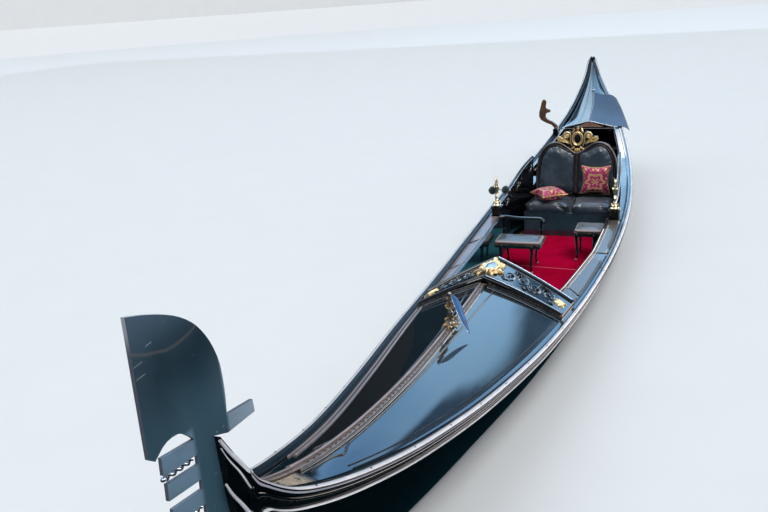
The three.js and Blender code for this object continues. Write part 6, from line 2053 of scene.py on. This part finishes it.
# CAD nodes that keep their own shape take these finishes
BOTTOM = timber("bottom_planks", (0.12, 0.08, 0.05), (0.05, 0.032, 0.02), (0.7, 8, 8),
                worn=(0.16, 0.13, 0.1))
FLOOR = timber("floor_planks", (0.26, 0.17, 0.10), (0.10, 0.06, 0.035), (0.7, 9, 9))
finishes = {
    "bottom_fore": BOTTOM, "bottom_aft": BOTTOM, "floor_boards": FLOOR, "aft_floor": FLOOR,
    "stem_post": PLAIN, "stern_post": PLAIN, "bow_cap": DECK, "fore_bulkhead": PLAIN,
}
for name, paint in finishes.items():
    nodes[name].data.materials.clear()
    nodes[name].data.materials.append(paint)
for name, node in nodes.items():
    if name not in finishes and not node.hide_render:
        node.data.materials.clear()
        node.data.materials.append(PLAIN)

# Floor at the waterline, with an opening that follows the hull, then light
def waterline(side):
    """Points where the planking's outer face meets the waterline, drawn in a little."""
    found = []
    for c in FINE[::2]:
        if c[CHINE_Z] < 0:
            ts = np.linspace(0, 1, 200)
            zs = [shell(c, side, t).z for t in ts]
            k = next(i for i, z in enumerate(zs) if z >= 0)
            p = shell(c, side, ts[k])
            found.append((p.x, SIGN[side] * (abs(p.y) - 0.009)))
    return found


rim = waterline("port") + waterline("star")[::-1]
count = len(rim)
rings = [[(*p, 0) for p in rim]]
for far, high in ((4, 0), (12, 0), (90, 0), (97, 3), (100, 10), (100, 60)):
    rings.append([(far * math.cos(t) - 0.3, far * math.sin(t), high)
                  for t in (math.atan2(y, (x + 0.3) * 0.5) for x, y in rim)])
floor_mesh = bpy.data.meshes.new("floor")
floor_mesh.from_pydata([p for ring in rings for p in ring], [],
                       [(k + i, k + (i + 1) % count, k + count + (i + 1) % count, k + count + i)
                        for k in range(0, count * (len(rings) - 1), count) for i in range(count)])
floor = bpy.data.objects.new("floor", floor_mesh)
scene.collection.objects.link(floor)
floor_paint = Paint("pale_floor", Roughness=0.7)
floor.data.materials.append(floor_paint.finish(
    Base_Color=floor_paint.mix(floor_paint.noise(1.3, 4, 0.6), (0.66, 0.67, 0.67), (0.70, 0.70, 0.70))))
floor.visible_glossy = False


def reflected(made, material):
    """A card that shows only in reflections."""
    scene.collection.objects.link(made)
    made.data.materials.append(material)
    made.visible_camera = made.visible_diffuse = made.visible_shadow = made.visible_transmission = False


DEGREES = 57.2958  # in one radian
CARD_FAR, PORT_CARD_FAR, BANK_DROP = 300.0, 290.0, 0.60


def turned_by(paint):
    """The angle in degrees between dead astern and a point of a card; it grows to starboard."""
    return paint.y.maths("ARCTAN2", paint.y * -1.0, paint.x * -1.0) * DEGREES


def dome_card(name, material, bearings, rows=12, far=CARD_FAR):
    """A card on a dome about the boat, from (azimuth, lowest, highest) bearings in degrees."""
    mesh = bpy.data.meshes.new(name)
    points = [(far * math.cos(math.radians(a)) * math.cos(math.radians(b)),
               far * math.sin(math.radians(a)) * math.cos(math.radians(b)), far * math.sin(math.radians(b)))
              for a, low, highest in bearings for b in np.linspace(low, highest, rows)]
    mesh.from_pydata(points, [],
                     [(i * rows + j, i * rows + j + 1, i * rows + j + rows + 1, i * rows + j + rows)
                                  for i in range(len(bearings) - 1) for j in range(rows - 1)])
    reflected(bpy.data.objects.new(name, mesh), material)


# A broad blue light behind the stern, mirrored in the decks; it is cut off on a slant above the port rail
# and is high and dark off the starboard quarter
card = Paint("blue_card", Base_Color=(0, 0, 0, 1), Roughness=1.0, Emission_Strength=1.0)
sine = card.z / CARD_FAR
up_angle = sine.maths("ARCSINE", sine) * DEGREES
turn_angle = turned_by(card)
ripple = card.noise(0.045, 3, 0.5) * 2.6 - 1.3
glow = card.mix(up_angle.step(13.0, 26.0), (0.50, 1.15, 2.10), (1.22, 2.38, 3.62))
glow = card.mix(up_angle.step(17.5, 14.0) * turn_angle.step(7.0, 3.0), glow, (2.0, 2.7, 3.4))
glow = card.mix(up_angle.step(24.0, 32.0) * turn_angle.step(32.0, 42.0), glow, (4.2, 6.4, 8.4))
glow = card.mix(up_angle.step(27.0, 34.0) * turn_angle.step(6.0, 14.0), glow, (2.2, 3.2, 4.1))
glow = card.mix(up_angle.step(40.0, 45.0) * turn_angle.step(8.0, 2.0), glow, (0.85, 2.05, 3.70))
high_band = up_angle.step(29.5, 31.0) * up_angle.step(42.0, 40.0)
white = high_band * turn_angle.step(-5.0, -3.0) * turn_angle.step(6.0, 4.0)
glow = card.mix(white, glow, (7.0, 6.9, 6.8))
clouds = card.noise(0.016, 4, 0.6).step(0.40, 0.62)
glow = card.mix(clouds * 0.10, glow, (2.2, 3.2, 4.4))
# A dark slanting bank just above the port rail
slant = (up_angle + turn_angle * BANK_DROP + ripple - 23.1).step(1.3, -1.3) * turn_angle.step(4.6, 2.4)
bank = slant * up_angle.step(16.0, 18.0) * up_angle.step(28.0, 26.5) * turn_angle.step(-7.5, -5.0)
low_star = (up_angle - (turn_angle - 15.0) * 2.8 - 9.0).step(3.0, -2.0) * up_angle.step(32.0, 27.0)
glow = card.mix(bank, glow, (0.03, 0.14, 0.30))
glow = card.mix(low_star.maths("MAXIMUM", low_star, up_angle.step(9.5, 7.5)), glow, (0.005, 0.024, 0.042))
dome_card("blue_card", card.finish(Emission_Color=glow),
          [(a, -2, 66) for a in np.linspace(-105, -211, 54)], rows=30)

# A pinkish light to port of the stern, mirrored as the bright lines on rails and mouldings
port_light = Paint("port_card", Base_Color=(0, 0, 0, 1), Roughness=1.0, Emission_Strength=1.0)
soft = port_light.noise(0.010, 3, 0.5).step(0.3, 0.7)
port_turn = turned_by(port_light)
bright = port_light.mix(soft, (5.6, 5.4, 5.3), (9.0, 8.3, 8.0))
port_light.finish(Emission_Color=port_light.mix(port_turn.step(-19.0, -13.5), bright, (1.2, 1.5, 1.9)))
dome_card("port_card", port_light.material, [(a, 2, 23) for a in np.linspace(167, 120, 20)],
          far=PORT_CARD_FAR)

# A dark cloth under the boat, mirrored in the planking
below = Paint("dark_cloth", Roughness=1.0)
below.finish(Base_Color=below.mix(below.noise(0.8, 3).step(0.3, 0.7), (0.010, 0.110, 0.140),
                                  (0.026, 0.220, 0.260)))
cloth_mesh = bpy.data.meshes.new("dark_cloth")
cloth_mesh.from_pydata([(40, -40, 0.0), (40, 40, 0.0), (-40, 40, 0.0), (-40, -40, 0.0)], [], [(0, 1, 2, 3)])
reflected(bpy.data.objects.new("dark_cloth", cloth_mesh), below.material)

# A dark flag off the starboard side, mirrored in the starboard foredeck
flag_paint = Paint("dark_flag", Roughness=1.0)
flag_mesh = bpy.data.meshes.new("dark_flag")
flag_mesh.from_pydata([(2.4, -2.6, 0.001), (-3.4, -3.4, 0.001), (-3.4, -3.4, 1.35), (2.4, -2.6, 1.35)], [],
                      [(0, 1, 2, 3)])
reflected(bpy.data.objects.new("dark_flag", flag_mesh), flag_paint.finish(
    Base_Color=flag_paint.mix(flag_paint.z.step(0.0, 1.2), (0.01, 0.012, 0.014), (0.03, 0.035, 0.04))))

world = bpy.data.worlds.new("studio")
scene.world = world
world.use_nodes = True
sky = world.node_tree
background = sky.nodes["Background"]
coordinate = sky.nodes.new("ShaderNodeTexCoord")
split = sky.nodes.new("ShaderNodeSeparateXYZ")
ramp = sky.nodes.new("ShaderNodeValToRGB")
sky.links.new(coordinate.outputs["Generated"], split.inputs[0])
sky.links.new(split.outputs["Z"], ramp.inputs[0])
sky.links.new(ramp.outputs[0], background.inputs[0])
ramp.color_ramp.elements[0].position = 0.0
ramp.color_ramp.elements[0].color = (0.06, 0.075, 0.095, 1)
ramp.color_ramp.elements[1].position = 1.0
ramp.color_ramp.elements[1].color = (0.50, 0.56, 0.64, 1)
ramp.color_ramp.elements.new(0.12).color = (0.09, 0.11, 0.14, 1)
ramp.color_ramp.elements.new(0.45).color = (0.30, 0.36, 0.44, 1)
background.inputs["Strength"].default_value = 1.0


def sun(name, strength, angle, way, tint):
    light = bpy.data.lights.new(name, "SUN")
    light.energy, light.angle, light.color = strength, math.radians(angle), tint
    made = bpy.data.objects.new(name, light)
    scene.collection.objects.link(made)
    made.rotation_euler = Vector(way).to_track_quat("-Z", "Y").to_euler()
    return made


sun("key", 2.1, 34, (-0.30, -0.45, -1.0), (1.0, 0.985, 0.96))
sun("fill", 0.7, 60, (0.25, 0.55, -0.8), (0.92, 0.96, 1.0))
scene.view_settings.view_transform = "Standard"
